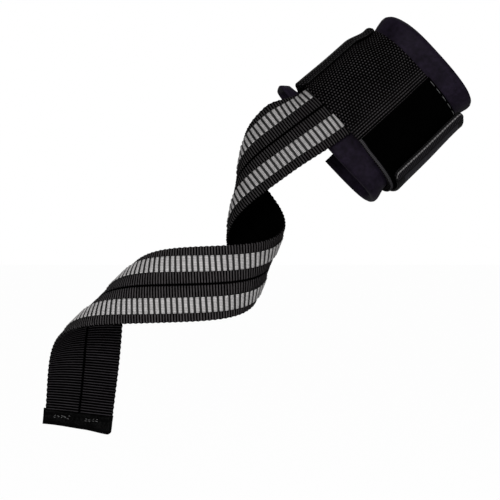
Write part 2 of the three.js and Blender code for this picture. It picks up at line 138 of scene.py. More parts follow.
BACK_START = math.pi / 2
BACK_END = 5 * math.pi / 2
HALF_LENGTH = PAD_LENGTH / 2
HALF_WIDTH = WRIST_WIDTH / 2 + PAD_THICKNESS
HALF_DEPTH = WRIST_DEPTH / 2 + PAD_THICKNESS
OVER_BAND = GAP + BAND_THICKNESS + GAP
OVER_LOOP = OVER_BAND + LOOP_THICKNESS + GAP
HAND_EDGE = -BAND_WIDTH / 2
STRAP_END = STRAP_FREE_LENGTH - STRAP_HEM_LENGTH

# Steps for slopes, for the table of arc lengths and for the strap's rolls.
SLOPE_ANGLE = 0.02
SLOPE_REACH = 0.5
ARC_STEPS = 2160
ROLL_STEPS = 64
# Facets in the quarter circle that rounds off a sheet's edge.
EDGE_STEPS = 3


def rise(value, low, high):
    """Smooth rise from 0 at low to 1 at high; low may be the larger of the two."""
    share = np.clip((value - low) / (high - low), 0, 1)
    return share * share * (3 - 2 * share)


def read_sections(column, share):
    """A column of the pad's sections, by a smooth curve through its rows."""
    along, values = PAD_SECTIONS["along"], PAD_SECTIONS[column]
    low = np.searchsorted(along[1:-1], share)
    high = low + 1
    before = np.maximum(low - 1, 0)
    after = np.minimum(low + 2, len(along) - 1)
    span = along[high] - along[low]
    t = np.clip((share - along[low]) / span, 0, 1)
    start_slope = (values[high] - values[before]) / (along[high] - along[before])
    end_slope = (values[after] - values[low]) / (along[after] - along[low])
    t2, t3 = t * t, t * t * t
    return (
        (2 * t3 - 3 * t2 + 1) * values[low]
        + (t3 - 2 * t2 + t) * span * start_slope
        + (3 * t2 - 2 * t3) * values[high]
        + (t3 - t2) * span * end_slope
    )


def skin_point(angle, along, flap_share=1.0):
    """A point on the pad's outer skin, with its flap, or a share of it."""
    angle, along = np.broadcast_arrays(np.asarray(angle, float), np.asarray(along, float))
    share = along / HALF_LENGTH
    c, s = np.cos(angle), np.sin(angle)
    sides = np.where(c < 0, read_sections("thumb", share), read_sections("little", share))
    faces = np.where(s < 0, read_sections("palm", share), read_sections("back", share))
    half_width, half_depth = HALF_WIDTH * sides, HALF_DEPTH * faces
    box = np.abs(c / half_width) ** SECTION_POWER + np.abs(s / half_depth) ** SECTION_POWER
    near_flap = np.maximum(0, np.cos(angle - FLAP_ANGLE)) ** FLAP_POWER
    flap = HALF_WIDTH * read_sections("flap", share) * near_flap
    reach = box ** (-1 / SECTION_POWER) + flap_share * flap
    return np.stack([reach * c, reach * s, along], -1)


def unit(vectors):
    return vectors / np.linalg.norm(vectors, axis=-1, keepdims=True)


def cuff_point(angle, along, height, flap_share=1.0):
    """A point at a height square off the pad's skin."""

    def skin(a, z):
        return skin_point(a, z, flap_share)

    round_it = skin(angle + SLOPE_ANGLE, along) - skin(angle - SLOPE_ANGLE, along)
    up = skin(angle, along + SLOPE_REACH) - skin(angle, along - SLOPE_REACH)
    return skin(angle, along) + unit(np.cross(round_it, up)) * np.asarray(height)[..., None]


ARC_ANGLES = np.linspace(-math.pi, 3.5 * math.pi, ARC_STEPS + 1)
ARC_POINTS = skin_point(ARC_ANGLES, 0.0)
ARC_LENGTHS = np.concatenate([[0], np.cumsum(np.linalg.norm(np.diff(ARC_POINTS, axis=0), axis=1))])


def arc_at(angle):
    return np.interp(angle, ARC_ANGLES, ARC_LENGTHS)


def angle_at(arc):
    return np.interp(arc, ARC_LENGTHS, ARC_ANGLES)


def angle_after(start, distance):
    return angle_at(arc_at(start) + distance)


def palm_angle(across, height):
    """Angle on the front at a distance across from the middle, at a height above the skin."""
    low, high = math.pi, 2 * math.pi
    while high - low > 1e-6:
        middle = (low + high) / 2
        if cuff_point(middle, 0.0, height)[0] < across:
            low = middle
        else:
            high = middle
    return low


def rim_along(end, angle):
    """Where the pad's rim lies along the hollow; end is -1 at the strap's end and 1 at the other."""
    rim = HAND_RIM if end < 0 else ELBOW_RIM
    side = np.where(np.cos(angle) < 0, rim["thumb"], rim["little"])
    face = np.where(np.sin(angle) < 0, rim["palm"], rim["back"])
    side_share = np.cos(angle) ** 4
    return end * HALF_LENGTH * (1 - face - (side - face) * side_share)


LOOP_START = palm_angle(LOOP_START_ACROSS, OVER_BAND + LOOP_THICKNESS)
LOOP_END = angle_after(BACK_END, -LOOP_END_FROM_BACK)
TAB_ROOT = palm_angle(-TAB_ROOT_ACROSS, OVER_BAND + TAB_THICKNESS)
TAB_END = palm_angle(TAB_END_ACROSS, OVER_LOOP + TAB_THICKNESS) - 2 * math.pi

STRAP_SEAT = GAP + STRAP_CORNER_LIFT + STRAP_THICKNESS / 2
STRAP_ROOT_ALONG = HAND_EDGE + STRAP_ROOT_INSET
STRAP_ROOT_ANGLE = palm_angle(-STRAP_ROOT_ACROSS, STRAP_SEAT)
ROOT_SIDESTEP = STRAP_HIDDEN_LENGTH * math.sin(STRAP_HEADING)
LIFT_THUMB = angle_after(STRAP_ROOT_ANGLE, -STRAP_WIDTH / 2 - STRAP_LIFT_MARGIN)
LIFT_THUMB_FOOT = angle_after(LIFT_THUMB, -STRAP_LIFT_SLOPE)
LIFT_LITTLE = angle_after(STRAP_ROOT_ANGLE, STRAP_WIDTH / 2 + ROOT_SIDESTEP + STRAP_LIFT_MARGIN)
LIFT_LITTLE_FOOT = angle_after(LIFT_LITTLE, STRAP_LIFT_SLOPE)
LIFT_ELBOW = STRAP_ROOT_ALONG + STRAP_HIDDEN_LENGTH + STRAP_END_MARGIN


def strap_lift(angle, along, spread):
    """How far the strap's root lifts the layers above it."""
    turned = np.where(angle < BACK_START, angle + 2 * math.pi, angle)
    turn = spread / HALF_WIDTH
    round_it = rise(turned, LIFT_THUMB_FOOT - turn, LIFT_THUMB - turn) * rise(
        turned, LIFT_LITTLE_FOOT + turn, LIFT_LITTLE + turn
    )
    reach = LIFT_ELBOW + spread
    height = STRAP_CORNER_LIFT + STRAP_THICKNESS + GAP
    return height * round_it * rise(along, reach + SOFT_LIFT_SLOPE, reach - STRAP_END_MARGIN)


def roll_of(row):
    """One roll of the strap, with the running sums of how far its path goes forward and down."""
    turn = math.radians(row["turn"])
    length = row["length"] * STRAP_FREE_LENGTH
    angles = turn * rise((np.arange(ROLL_STEPS) + 0.5) / ROLL_STEPS, 0, 1)
    step = length / ROLL_STEPS
    return {
        "at": row["at"] * STRAP_FREE_LENGTH,
        "slant": math.radians(row["slant"]),
        "turn": turn,
        "length": length,
        "forward": np.concatenate([[0], np.cumsum(np.cos(angles) * step)]),
        "down": np.concatenate([[0], np.cumsum(np.sin(angles) * step)]),
    }


ROLLS = [roll_of(row) for row in STRAP_ROLLS]
STRAP_ALONG = np.array(
    [
        -math.sin(STRAP_HEADING) * math.cos(STRAP_DIVE),
        math.sin(STRAP_DIVE),
        -math.cos(STRAP_HEADING) * math.cos(STRAP_DIVE),
    ]
)
STRAP_LEVEL = unit(np.cross([0.0, 1.0, 0.0], STRAP_ALONG))
STRAP_UP = np.cross(STRAP_ALONG, STRAP_LEVEL)
STRAP_ACROSS = STRAP_LEVEL * math.cos(STRAP_TWIST) + STRAP_UP * math.sin(STRAP_TWIST)
STRAP_FACE = np.cross(STRAP_ACROSS, STRAP_ALONG)
STRAP_ROOT = cuff_point(STRAP_ROOT_ANGLE, STRAP_ROOT_ALONG, STRAP_SEAT)


def rolled_point(s, t):
    """The strap laid through its rolls, in the flat strap's own directions."""
    x_all, y_all, z_all = s.copy(), t.copy(), np.zeros_like(s)
    for roll in reversed(ROLLS):
        c, si = math.cos(roll["slant"]), math.sin(roll["slant"])
        past = np.clip((s - roll["at"]) * c + t * si, 0, roll["length"])
        share = past / roll["length"]
        angle = roll["turn"] * rise(share, 0, 1)
        steps = np.arange(ROLL_STEPS + 1)
        forward = np.interp(share * ROLL_STEPS, steps, roll["forward"])
        down = np.interp(share * ROLL_STEPS, steps, roll["down"])
        x = (x_all - roll["at"]) * c + y_all * si - past
        y = -(x_all - roll["at"]) * si + y_all * c
        bent_x = forward + x * np.cos(angle) + z_all * np.sin(angle)
        bent_z = -down - x * np.sin(angle) + z_all * np.cos(angle)
        x_all, y_all, z_all = roll["at"] + bent_x * c - y * si, bent_x * si + y * c, bent_z
    return x_all, y_all, z_all


def strap_middle(s, t):
    """The strap's middle layer: on the pad under the band, and free further on."""
    x, y, z = rolled_point(s, t)
    flat = np.stack([x, y, z], -1)
    free = STRAP_ROOT + flat @ np.stack([STRAP_ALONG, STRAP_ACROSS, STRAP_FACE])
    sooner = rise(t, -STRAP_WIDTH / 4, STRAP_WIDTH / 2)
    leaves = STRAP_LEAVES_PAD - THUMB_LEAVES_SOONER * sooner
    lies_free = STRAP_LEAVES_PAD + STRAP_BLEND - THUMB_FREE_SOONER * sooner
    on_cuff = (1 - rise(s, leaves, lies_free))[..., None]
    along = STRAP_ROOT_ALONG - s * math.cos(STRAP_HEADING) + t * math.sin(STRAP_HEADING)
    around = -t * math.cos(STRAP_HEADING) - s * math.sin(STRAP_HEADING)
    angle = angle_after(STRAP_ROOT_ANGLE, around)
    laid = cuff_point(angle, np.maximum(along, HAND_EDGE), STRAP_SEAT + 0 * s)
    laid[..., 2] = along
    return free * (1 - on_cuff) + laid * on_cuff


def strap_point(s, t, height):
    """A point at a height off the strap's middle layer, towards its outer face."""
    s, t = np.broadcast_arrays(np.asarray(s, float), np.asarray(t, float))
    ahead = strap_middle(s + SLOPE_REACH, t) - strap_middle(s - SLOPE_REACH, t)
    aside = strap_middle(s, t + SLOPE_REACH) - strap_middle(s, t - SLOPE_REACH)
    return strap_middle(s, t) + unit(np.cross(aside, ahead)) * np.asarray(height)[..., None]


TOWARDS_ELBOW = np.array(
    [
        math.cos(CUFF_RISE) * math.cos(CUFF_LEAN),
        math.sin(CUFF_LEAN),
        math.sin(CUFF_RISE) * math.cos(CUFF_LEAN),
    ]
)
TOWARDS_LITTLE = np.array([math.sin(CUFF_RISE), 0.0, -math.cos(CUFF_RISE)])
TOWARDS_BACK = np.cross(TOWARDS_ELBOW, TOWARDS_LITTLE)
CUFF_AXES = np.stack([TOWARDS_LITTLE, TOWARDS_BACK, TOWARDS_ELBOW])


def to_part(points):
    """From millimetres in the cuff's frame to metres in the part's frame."""
    return points @ CUFF_AXES * MM


def make_object(name, points, faces, laid):
    """A mesh object at the origin. faces is a list of arrays of quads or triangles."""
    mesh = bpy.data.meshes.new(name)
    mesh.from_pydata(points.tolist(), [], [f for group in faces for f in group.tolist()])
    mesh.update()
    attribute = mesh.attributes.new("laid", "FLOAT_VECTOR", "POINT")
    attribute.data.foreach_set("vector", np.asarray(laid, np.float32).ravel())
    mesh.polygons.foreach_set("use_smooth", np.ones(len(mesh.polygons), bool))
    obj = bpy.data.objects.new(name, mesh)
    bpy.context.scene.collection.objects.link(obj)
    return obj


def outward(points, quads):
    """The quads, turned so that they enclose a positive volume."""
    a, b, c, d = (points[quads[:, k]] for k in range(4))
    volume = (a * np.cross(b, c)).sum() + (a * np.cross(c, d)).sum()
    return quads if volume > 0 else quads[:, ::-1]


def rounded_steps(start, end, step, radius):
    """Places from start to end, close together where the edges round off."""
    bend = radius * (1 - np.cos(np.linspace(0, math.pi / 2, EDGE_STEPS + 1)))[:-1]
    count = max(1, round((end - start - 2 * radius) / step))
    middle = np.linspace(start + radius, end - radius, count + 1)
    return np.concatenate([start + bend, middle, end - bend[::-1]])


def cloth_sheet(name, us, vs, place, thickness, over=None, under=None):
    """A closed sheet with rounded edges. place(u, v, height) gives a point at a height off the
    sheet's middle layer; over and under give the relief of its two faces at (u, v)."""
    u, v = np.meshgrid(us, vs, indexing="ij")
    half = thickness / 2
    inset = np.minimum(
        np.minimum(u - us[0], us[-1] - u),
        np.minimum(v - vs[0], vs[-1] - v),
    )
    fullness = np.sqrt(np.maximum(0, 1 - (1 - np.clip(inset / half, 0, 1)) ** 2))
    top_height = (half + (over(u, v) if over else 0)) * fullness
    low_height = -(half + (under(u, v) if under else 0)) * fullness
    top, low = place(u, v, top_height), place(u, v, low_height)
    rows, columns = u.shape
    number = np.arange(rows * columns).reshape(rows, columns)
    inner = np.zeros((rows, columns), bool)
    inner[1:-1, 1:-1] = True
    low_number = number.copy()
    low_number[inner] = rows * columns + np.arange(inner.sum())

    def quads(n):
        return np.stack([n[:-1, :-1], n[1:, :-1], n[1:, 1:], n[:-1, 1:]], -1).reshape(-1, 4)

    points = np.concatenate([top.reshape(-1, 3), low[inner]])
    faces = np.concatenate([quads(number), quads(low_number)[:, ::-1]])
    laid = np.concatenate(
        [
            np.stack([u, v, top_height], -1).reshape(-1, 3),
            np.stack([u, v, low_height], -1)[inner],
        ]
    )
    return make_object(name, to_part(points), [outward(points, faces)], laid)


# How blunt a thread's ends are, as an angle on its swell.
THREAD_TIP = 0.22


def thread_row(name, paths, outwards, thickness, sides=6):
    """Short threads as one mesh: each path is a row of points, with the way out of the cloth."""
    count, length, _ = paths.shape
    along = np.gradient(paths, axis=1)
    first = unit(np.cross(along, outwards))
    second = unit(np.cross(along, first))
    turn = np.arange(sides) * 2 * math.pi / sides
    swell = np.sin(np.linspace(THREAD_TIP, math.pi - THREAD_TIP, length)) ** 0.5 * thickness / 2
    ring = (
        paths[:, :, None]
        + first[:, :, None] * (np.cos(turn)[:, None] * swell[:, None, None])
        + second[:, :, None] * (np.sin(turn)[:, None] * swell[:, None, None])
    )
    points = ring.reshape(-1, 3)
    number = np.arange(count * length * sides).reshape(count, length, sides)
    beside = np.roll(number, -1, axis=2)
    tube = np.stack([number[:, :-1], number[:, 1:], beside[:, 1:], beside[:, :-1]], -1)
    tube = tube.reshape(-1, 4)
    caps = np.concatenate([number[:, 0, ::-1], number[:, -1]])
    probe = tube[: sides * (length - 1)]
    turned = outward(points, probe)
    if turned is not probe:
        tube, caps = tube[:, ::-1], caps[:, ::-1]
    laid = np.zeros_like(points)
    return make_object(name, to_part(points), [tube, caps], laid)


def ripple(u, v, scale):
    """Slow uneven swell of worn cloth, from -1 to 1."""
    a = np.sin(u / scale + 1.3 * np.sin(v / (1.7 * scale) + 0.4))
    b = np.sin(v / (0.83 * scale) + 0.9 * np.sin(u / (1.3 * scale) + 2.1) + 1.1)
    c = np.sin((u + v) / (0.61 * scale) + 0.5)
    return (a + b + 0.6 * c) / 2.6


# The pad, with the corner that the strap pulls out: its angle, how far the rim draws back there, how
# far it stands off behind the band's edge and at its tip, and how thin it is stretched.
PAD_STEP = 1.0
PAD_SWELL = 0.12
PAD_SWELL_LENGTH = 7.0
CORNER_ANGLE = math.radians(172)
CORNER_HALF = math.radians(8)
CORNER_FALL = math.radians(13)
CORNER_SHORTER = 1.0
CORNER_FOOT = HAND_EDGE - 0.4
CORNER_FOOT_LENGTH = 1.0
CORNER_FOOT_REACH = 8.0
CORNER_TIP_REACH = 11.6
CORNER_TIP = -29.3
CORNER_PAST_TIP = 1.4
CORNER_THINNER = 0.55


def make_pad():
    end = angle_after(BACK_START, PAD_END_GAP / 2) - BACK_START
    first, last = arc_at(BACK_START + end), arc_at(BACK_END - end)
    us = rounded_steps(first, last, PAD_STEP, PAD_THICKNESS / 2)
    vs = rounded_steps(-HALF_LENGTH, HALF_LENGTH, PAD_STEP, PAD_THICKNESS / 2)

    def place(u, v, height):
        angle = angle_at(u)
        corner = rise(np.abs(angle - CORNER_ANGLE), CORNER_HALF + CORNER_FALL, CORNER_HALF)
        hand_rim = rim_along(-1, angle) + CORNER_SHORTER * corner
        share = np.abs(v) / HALF_LENGTH
        along = share * np.where(v < 0, hand_rim, rim_along(1, angle))
        foot = rise(along, CORNER_FOOT, CORNER_FOOT - CORNER_FOOT_LENGTH)
        slope = np.clip((CORNER_FOOT - along) / (CORNER_FOOT - CORNER_TIP), 0, CORNER_PAST_TIP)
        pulled = CORNER_FOOT_REACH * foot + (CORNER_TIP_REACH - CORNER_FOOT_REACH) * slope
        thinned = (height - PAD_THICKNESS / 2) * (1 - CORNER_THINNER * corner * foot)
        out = np.stack([np.cos(angle), np.sin(angle), 0 * angle], -1)
        return cuff_point(angle, along, thinned, flap_share=0) + out * (corner * pulled)[..., None]

    def over(u, v):
        return PAD_SWELL * ripple(u, v, PAD_SWELL_LENGTH)

    return cloth_sheet("neoprene_pad", us, vs, place, PAD_THICKNESS, over)


# The band's coarse weave: ribs along the hollow, each a row of raised threads.
BAND_RIB_PITCH = 1.37
BAND_THREAD_PITCH = 1.58
BAND_RELIEF = 0.25
# How high a rib stays between its threads, as a share of the relief.
BAND_SUNK_PLACES = 0.3
# Where the band's front edge is drawn back a little beside the strap.
BAND_RECESS = 1.6
RECESS_ANGLE = 0.16


def band_weave(u, v):
    rib = np.round(u / BAND_RIB_PITCH)
    across = 0.5 + 0.5 * np.cos(2 * math.pi * u / BAND_RIB_PITCH)
    along = 0.5 + 0.5 * np.cos(2 * math.pi * v / BAND_THREAD_PITCH + math.pi * rib)
    return BAND_RELIEF * (across * (BAND_SUNK_PLACES + (1 - BAND_SUNK_PLACES) * along) - 1)


def make_band():
    end = angle_after(BACK_START, PAD_END_GAP / 2 + BAND_END_INSET) - BACK_START
    us = rounded_steps(
        arc_at(BACK_START + end), arc_at(BACK_END - end), BAND_RIB_PITCH / 4, BAND_THICKNESS / 2
    )
    vs = rounded_steps(-BAND_WIDTH / 2, BAND_WIDTH / 2, BAND_THREAD_PITCH / 3, BAND_THICKNESS / 2)
    recess_middle = angle_after(STRAP_ROOT_ANGLE, -STRIPE_OFFSET - STRIPE_WIDTH / 2)

    def place(u, v, height):
        angle = angle_at(u)
        drawn = BAND_RECESS * np.exp(-(((angle - recess_middle) / RECESS_ANGLE) ** 2))
        along = v + drawn * rise(v, -BAND_WIDTH / 4, -BAND_WIDTH / 2)
        seat = GAP + BAND_THICKNESS / 2 + strap_lift(angle, along, 0)
        return cuff_point(angle, along, seat + height, flap_share=0)

    return cloth_sheet("woven_band", us, vs, place, BAND_THICKNESS, band_weave)


# The pile panel: fuzzy, with a flat woven edge at the front.
LOOP_SELVAGE = 1.5
LOOP_SELVAGE_START = LOOP_SELVAGE - 0.3
LOOP_SELVAGE_STOP = LOOP_SELVAGE + 0.5
LOOP_SELVAGE_SUNK = 0.5
LOOP_FUZZ = 0.22
LOOP_STEP_AROUND = 0.7
LOOP_STEP_ALONG = 0.6


def make_loop_panel():
    radius = LOOP_THICKNESS / 2
    us = rounded_steps(arc_at(LOOP_START), arc_at(LOOP_END), LOOP_STEP_AROUND, radius)
    vs = rounded_steps(-BAND_WIDTH / 2, BAND_WIDTH / 2, LOOP_STEP_ALONG, radius)
    fuzz = np.random.default_rng(7).uniform(-1, 1, (len(us), len(vs)))

    def place(u, v, height):
        angle = angle_at(u)
        seat = OVER_BAND + LOOP_THICKNESS / 2 + strap_lift(angle, v, 0)
        return cuff_point(angle, v, seat + height)

    def over(u, v):
        pile = rise(v + BAND_WIDTH / 2, LOOP_SELVAGE_START, LOOP_SELVAGE_STOP)
        return -LOOP_SELVAGE_SUNK * (1 - pile) + LOOP_FUZZ * pile * fuzz

    return cloth_sheet("pile_panel", us, vs, place, LOOP_THICKNESS, over)


# The closing tab: fine ribs along it, thinned where it is sewn down, and a folded hem at its end.
TAB_RIB_PITCH = 1.05
TAB_RELIEF = 0.16
TAB_CORNER_STEP = 0.15
TAB_ROOT_TAPER = 6.0
TAB_ROOT_EDGE = 0.8
TAB_ROOT_THINNER = 1.5
TAB_HEM_BLEND = 0.4
TAB_GROOVE = 0.35
TAB_GROOVE_BEYOND = 0.5
TAB_GROOVE_WIDTH = 0.4
TAB_STEP = 1.0
TAB_HEM_STEPS = (-0.5, -0.2, 0.1, 0.5, 0.8, 1.1)


def corner_inset(across):
    past = np.clip(np.abs(across) - (TAB_WIDTH / 2 - TAB_CORNER), 0, TAB_CORNER)
    return TAB_CORNER - np.sqrt(TAB_CORNER**2 - past**2)


TAB_START_ARC = arc_at(TAB_END)
TAB_STOP_ARC = arc_at(TAB_ROOT)
STEP_UP_ARC = arc_at(LOOP_END - 2 * math.pi) + TAB_STEP_MARGIN


def tab_place(u, v, height):
    """u is the arc from the tab's end round the back to its root."""
    angle = angle_at(u)
    along = v + TAB_CLIMB * (TAB_ROOT - angle) / (TAB_ROOT - TAB_END)
    step = rise(u, STEP_UP_ARC + TAB_STEP_LENGTH, STEP_UP_ARC)
    lift = strap_lift(angle, along, TAB_LIFT_SPREAD)
    seat = OVER_BAND + (OVER_LOOP - OVER_BAND) * step + lift
    return cuff_point(angle, along, seat + TAB_THICKNESS / 2 + height, flap_share=0)


def tab_relief(u, v):
    from_end = u - TAB_START_ARC
    hem = rise(from_end, TAB_HEM_WIDTH + TAB_HEM_BLEND, TAB_HEM_WIDTH - TAB_HEM_BLEND)
    off_groove = (from_end - TAB_HEM_WIDTH - TAB_GROOVE_BEYOND) / TAB_GROOVE_WIDTH
    groove = TAB_GROOVE * np.exp(-(off_groove**2))
    ribs = TAB_RELIEF * (0.5 * np.cos(2 * math.pi * v / TAB_RIB_PITCH) - 0.5)
    sewn = TAB_ROOT_THINNER * rise(TAB_STOP_ARC - u, TAB_ROOT_TAPER, TAB_ROOT_EDGE)
    return TAB_HEM_RISE * hem - groove + ribs - sewn


def make_tab():
    us = rounded_steps(TAB_START_ARC, TAB_STOP_ARC, TAB_STEP, TAB_THICKNESS / 2)
    hem_edge = TAB_START_ARC + TAB_HEM_WIDTH + np.array(TAB_HEM_STEPS)
    us = np.unique(np.concatenate([us, hem_edge]))
    vs = rounded_steps(-TAB_WIDTH / 2, TAB_WIDTH / 2, TAB_RIB_PITCH / 4, TAB_THICKNESS / 2)
    index = np.arange(len(us))

    def place(u, v, height):
        first = TAB_START_ARC + corner_inset(v) + TAB_CORNER_STEP * index[:, None]
        last = TAB_STOP_ARC - corner_inset(v) - TAB_CORNER_STEP * index[::-1][:, None]
        return tab_place(np.clip(u, first, last), v, height)

    return cloth_sheet("closing_tab_cloth", us, vs, place, TAB_THICKNESS, tab_relief)


# The strap's webbing: ribs straight across, a sunk seam along its middle and scalloped edges.
STRAP_RIB_PITCH = RIB_PITCH / 2
STRAP_RELIEF = 0.32
SEAM_WIDTH = 0.55
SEAM_DEPTH = 0.6
SEAM_SWAY = 0.18
SCALLOP_DEPTH = 0.3
SCALLOP_REACH = 3.0
# How far the webbing runs into its folded end.
STRAP_TUCK = 2.5
STRAP_STEP_ACROSS = 1.3
SEAM_STEPS = (-1.2, -0.75, -0.35, 0.0, 0.35, 0.75, 1.2)
# Longer than any sheet: only its rounded ends get steps.
ENDS_ONLY = 400.0
# How near a rib's step may come to those of a rounded end.
STEP_MARGIN = 0.1


def strap_relief(s, t):
    ribs = STRAP_RELIEF * (0.5 * np.cos(2 * math.pi * (s - RIB_START) / STRAP_RIB_PITCH) - 0.5)
    sway = SEAM_SWAY * np.sin(math.pi * (s - RIB_START) / STRAP_RIB_PITCH)
    return ribs - SEAM_DEPTH * np.exp(-(((t - sway) / SEAM_WIDTH) ** 2))


def webbing_point(s, t, height):
    """A point on the webbing, its edges drawn in between each pair of ribs."""
    to_edge = STRAP_WIDTH / 2 - np.abs(t)
    scallop = 0.5 - 0.5 * np.cos(2 * math.pi * (s - RIB_START) / RIB_PITCH)
    drawn = SCALLOP_DEPTH * scallop * rise(to_edge, SCALLOP_REACH, 0)
    return strap_point(s, t - np.sign(t) * drawn, height)


STRIPE_START = STRAP_ROOT_INSET + STRIPE_CLEARANCE
RIB_START = STRIPE_START + RIB_PITCH / 2
RIB_COUNT = math.floor((STRAP_END - GAP - STRIPE_START) / RIB_PITCH)


def make_strap():
    hidden_ribs = math.floor((STRIPE_START + STRAP_HIDDEN_LENGTH) / RIB_PITCH)
    ribs = np.arange(STRIPE_START - RIB_PITCH * hidden_ribs, STRAP_END, STRAP_RIB_PITCH / 4)
    radius = STRAP_THICKNESS / 2
    bend = rounded_steps(-STRAP_HIDDEN_LENGTH, STRAP_END + STRAP_TUCK, ENDS_ONLY, radius)
    low, high = bend[EDGE_STEPS] + STEP_MARGIN, bend[-EDGE_STEPS - 1] - STEP_MARGIN
    us = np.sort(np.concatenate([bend, ribs[(ribs > low) & (ribs < high)]]))
    vs = rounded_steps(-STRAP_WIDTH / 2, STRAP_WIDTH / 2, STRAP_STEP_ACROSS, radius)
    vs = np.unique(np.concatenate([vs, np.array(SEAM_STEPS)]))
    return cloth_sheet(
        "strap_webbing", us, vs, webbing_point, STRAP_THICKNESS, strap_relief, strap_relief
    )


# A grip stripe: raised blocks of rubber threads on a thin woven base.
BLOCK_PHASES = (0.0, 0.16, 0.21, 0.30, 0.42, 0.58, 0.70, 0.79, 0.84)
BLOCK_HEIGHTS = (0.0, 0.0, 0.45, 0.85, 1.0, 1.0, 0.85, 0.45, 0.0)
GRIP_THREAD_PITCH = 0.82
GRIP_THREAD_RELIEF = 0.16
BLOCK_END_ROUND = 0.45


def make_stripe(name, side):
    """One stripe; its first block is half hidden under the band."""
    start = STRIPE_START - RIB_PITCH
    end = STRIPE_START + RIB_COUNT * RIB_PITCH
    blocks = start + RIB_PITCH * (np.arange(RIB_COUNT + 1)[:, None] + np.array(BLOCK_PHASES))
    radius = STRIPE_BASE / 2
    ends = rounded_steps(start, end, ENDS_ONLY, radius)
    us = np.unique(np.concatenate([blocks.ravel()[1:], ends]))
    inner, outer = STRIPE_OFFSET - STRIPE_WIDTH / 2, STRIPE_OFFSET + STRIPE_WIDTH / 2
    vs = rounded_steps(inner, outer, GRIP_THREAD_PITCH / 2, radius)
    seat = STRAP_THICKNESS / 2 + radius

    def place(s, t, height):
        return strap_point(s, side * t, seat + height)

    def over(s, t):
        phase = np.mod((s - start) / RIB_PITCH, 1)
        block = np.interp(phase, (*BLOCK_PHASES, 1.0), (*BLOCK_HEIGHTS, 0.0))
        threads = 0.5 + 0.5 * np.cos(2 * math.pi * (t - inner) / GRIP_THREAD_PITCH)
        sides = rise(np.minimum(t - inner, outer - t), 0.0, BLOCK_END_ROUND)
        return block * sides * (STRIPE_RIB - GRIP_THREAD_RELIEF * threads)

    return cloth_sheet(name, us, vs, place, STRIPE_BASE, over)


# The strap's folded end, a little longer at one corner.
HEM_LONG_SIDE = 1
HEM_CORNER_LONGER = 1.5
HEM_CORNER_START = 0.2
HEM_CORNER_ROUND = 2.2
HEM_SIDE_SHIFT = 0.4
HEM_WAVE = 0.3
HEM_WAVE_LENGTH = 6.5
HEM_WAVE_START = 0.6
HEM_EDGE_RADIUS = 1.2
HEM_STEP_ALONG = 0.45
HEM_STEP_ACROSS = 0.55
# Its surface: small lumps, a lengthwise swell and the sunk seam, deeper at each stitch.
HEM_LUMP = 0.05
HEM_SWELL = 0.16
HEM_SWELL_LENGTH = 2.1
HEM_SWELL_STRETCH = 2.3
HEM_SEAM = STRAP_END + STRAP_HEM_LENGTH * 0.42
HEM_SEAM_DEPTH = 0.4
HEM_SEAM_WIDTH = 0.7
HEM_STITCH_SHARE = 0.3
HEM_STITCH_TURNS = 2.4


def make_hem():
    us = rounded_steps(STRAP_END, STRAP_FREE_LENGTH, HEM_STEP_ALONG, HEM_EDGE_RADIUS)
    half = STRAP_WIDTH / 2 + STRAP_HEM_OVERHANG
    vs = rounded_steps(-half, half, HEM_STEP_ACROSS, HEM_EDGE_RADIUS)
    lumps = np.random.default_rng(11).normal(0, HEM_LUMP, (len(us), len(vs)))

    def over(s, t):
        seam = HEM_SEAM_DEPTH * np.exp(-(((s - HEM_SEAM) / HEM_SEAM_WIDTH) ** 2))
        stitched = 1 - HEM_STITCH_SHARE + HEM_STITCH_SHARE * np.sin(t * HEM_STITCH_TURNS)
        swell = HEM_SWELL * ripple(s * HEM_SWELL_STRETCH, t, HEM_SWELL_LENGTH)
        return swell + lumps - seam * stitched

    def place(s, t, height):
        share = rise(s, STRAP_END, STRAP_FREE_LENGTH)
        corner = HEM_LONG_SIDE * half
        longer = HEM_CORNER_LONGER * rise(t, corner * HEM_CORNER_START, corner)
        wavy = HEM_WAVE * np.sin(t / HEM_WAVE_LENGTH + HEM_WAVE_START)
        past = np.clip(t * HEM_LONG_SIDE - half + HEM_CORNER_ROUND, 0, HEM_CORNER_ROUND)
        rounded = HEM_CORNER_ROUND - np.sqrt(HEM_CORNER_ROUND**2 - past**2)
        s_end = s + (wavy + longer - rounded) * share
        return strap_point(s_end, t - HEM_SIDE_SHIFT * HEM_LONG_SIDE, height)

    return cloth_sheet("folded_strap_end", us, vs, place, STRAP_HEM_THICKNESS, over, over)


STITCH_POINTS = 6


def stitches(name, place, starts, ends, height, thickness, arch=0.25):
    """Threads between pairs of (u, v) places on a sheet, dipping into it at both ends."""
    share = np.linspace(0, 1, STITCH_POINTS)
    starts, ends = np.asarray(starts, float), np.asarray(ends, float)
    u = starts[:, :1] + (ends[:, :1] - starts[:, :1]) * share
    v = starts[:, 1:] + (ends[:, 1:] - starts[:, 1:]) * share
    lifted = height - arch + arch * np.sin(math.pi * share) ** 0.5 + 0 * u
    paths = place(u, v, lifted)
    return thread_row(name, paths, place(u, v, lifted + 1) - paths, thickness)


def stitch_places(along, fixed, pitch, length, swap=False):
    """Starts and ends of a straight row of stitches over a range, at a fixed place across."""
    first, last = along
    begin = np.arange(first, last - length, pitch)
    starts = np.stack([begin, np.full_like(begin, fixed)], -1)
    ends = starts + np.array([length, 0.0])
    return (starts[:, ::-1], ends[:, ::-1]) if swap else (starts, ends)


def add_node(tree, kind, inputs=None, **settings):
    """A node with its settings, and its inputs set or linked."""
    node = tree.nodes.new(kind)
    for key, value in settings.items():
        setattr(node, key, value)
    for key, value in (inputs or {}).items():
        if isinstance(value, bpy.types.NodeSocket):
            tree.links.new(value, node.inputs[key])
        else:
            node.inputs[key].default_value = value
    return node


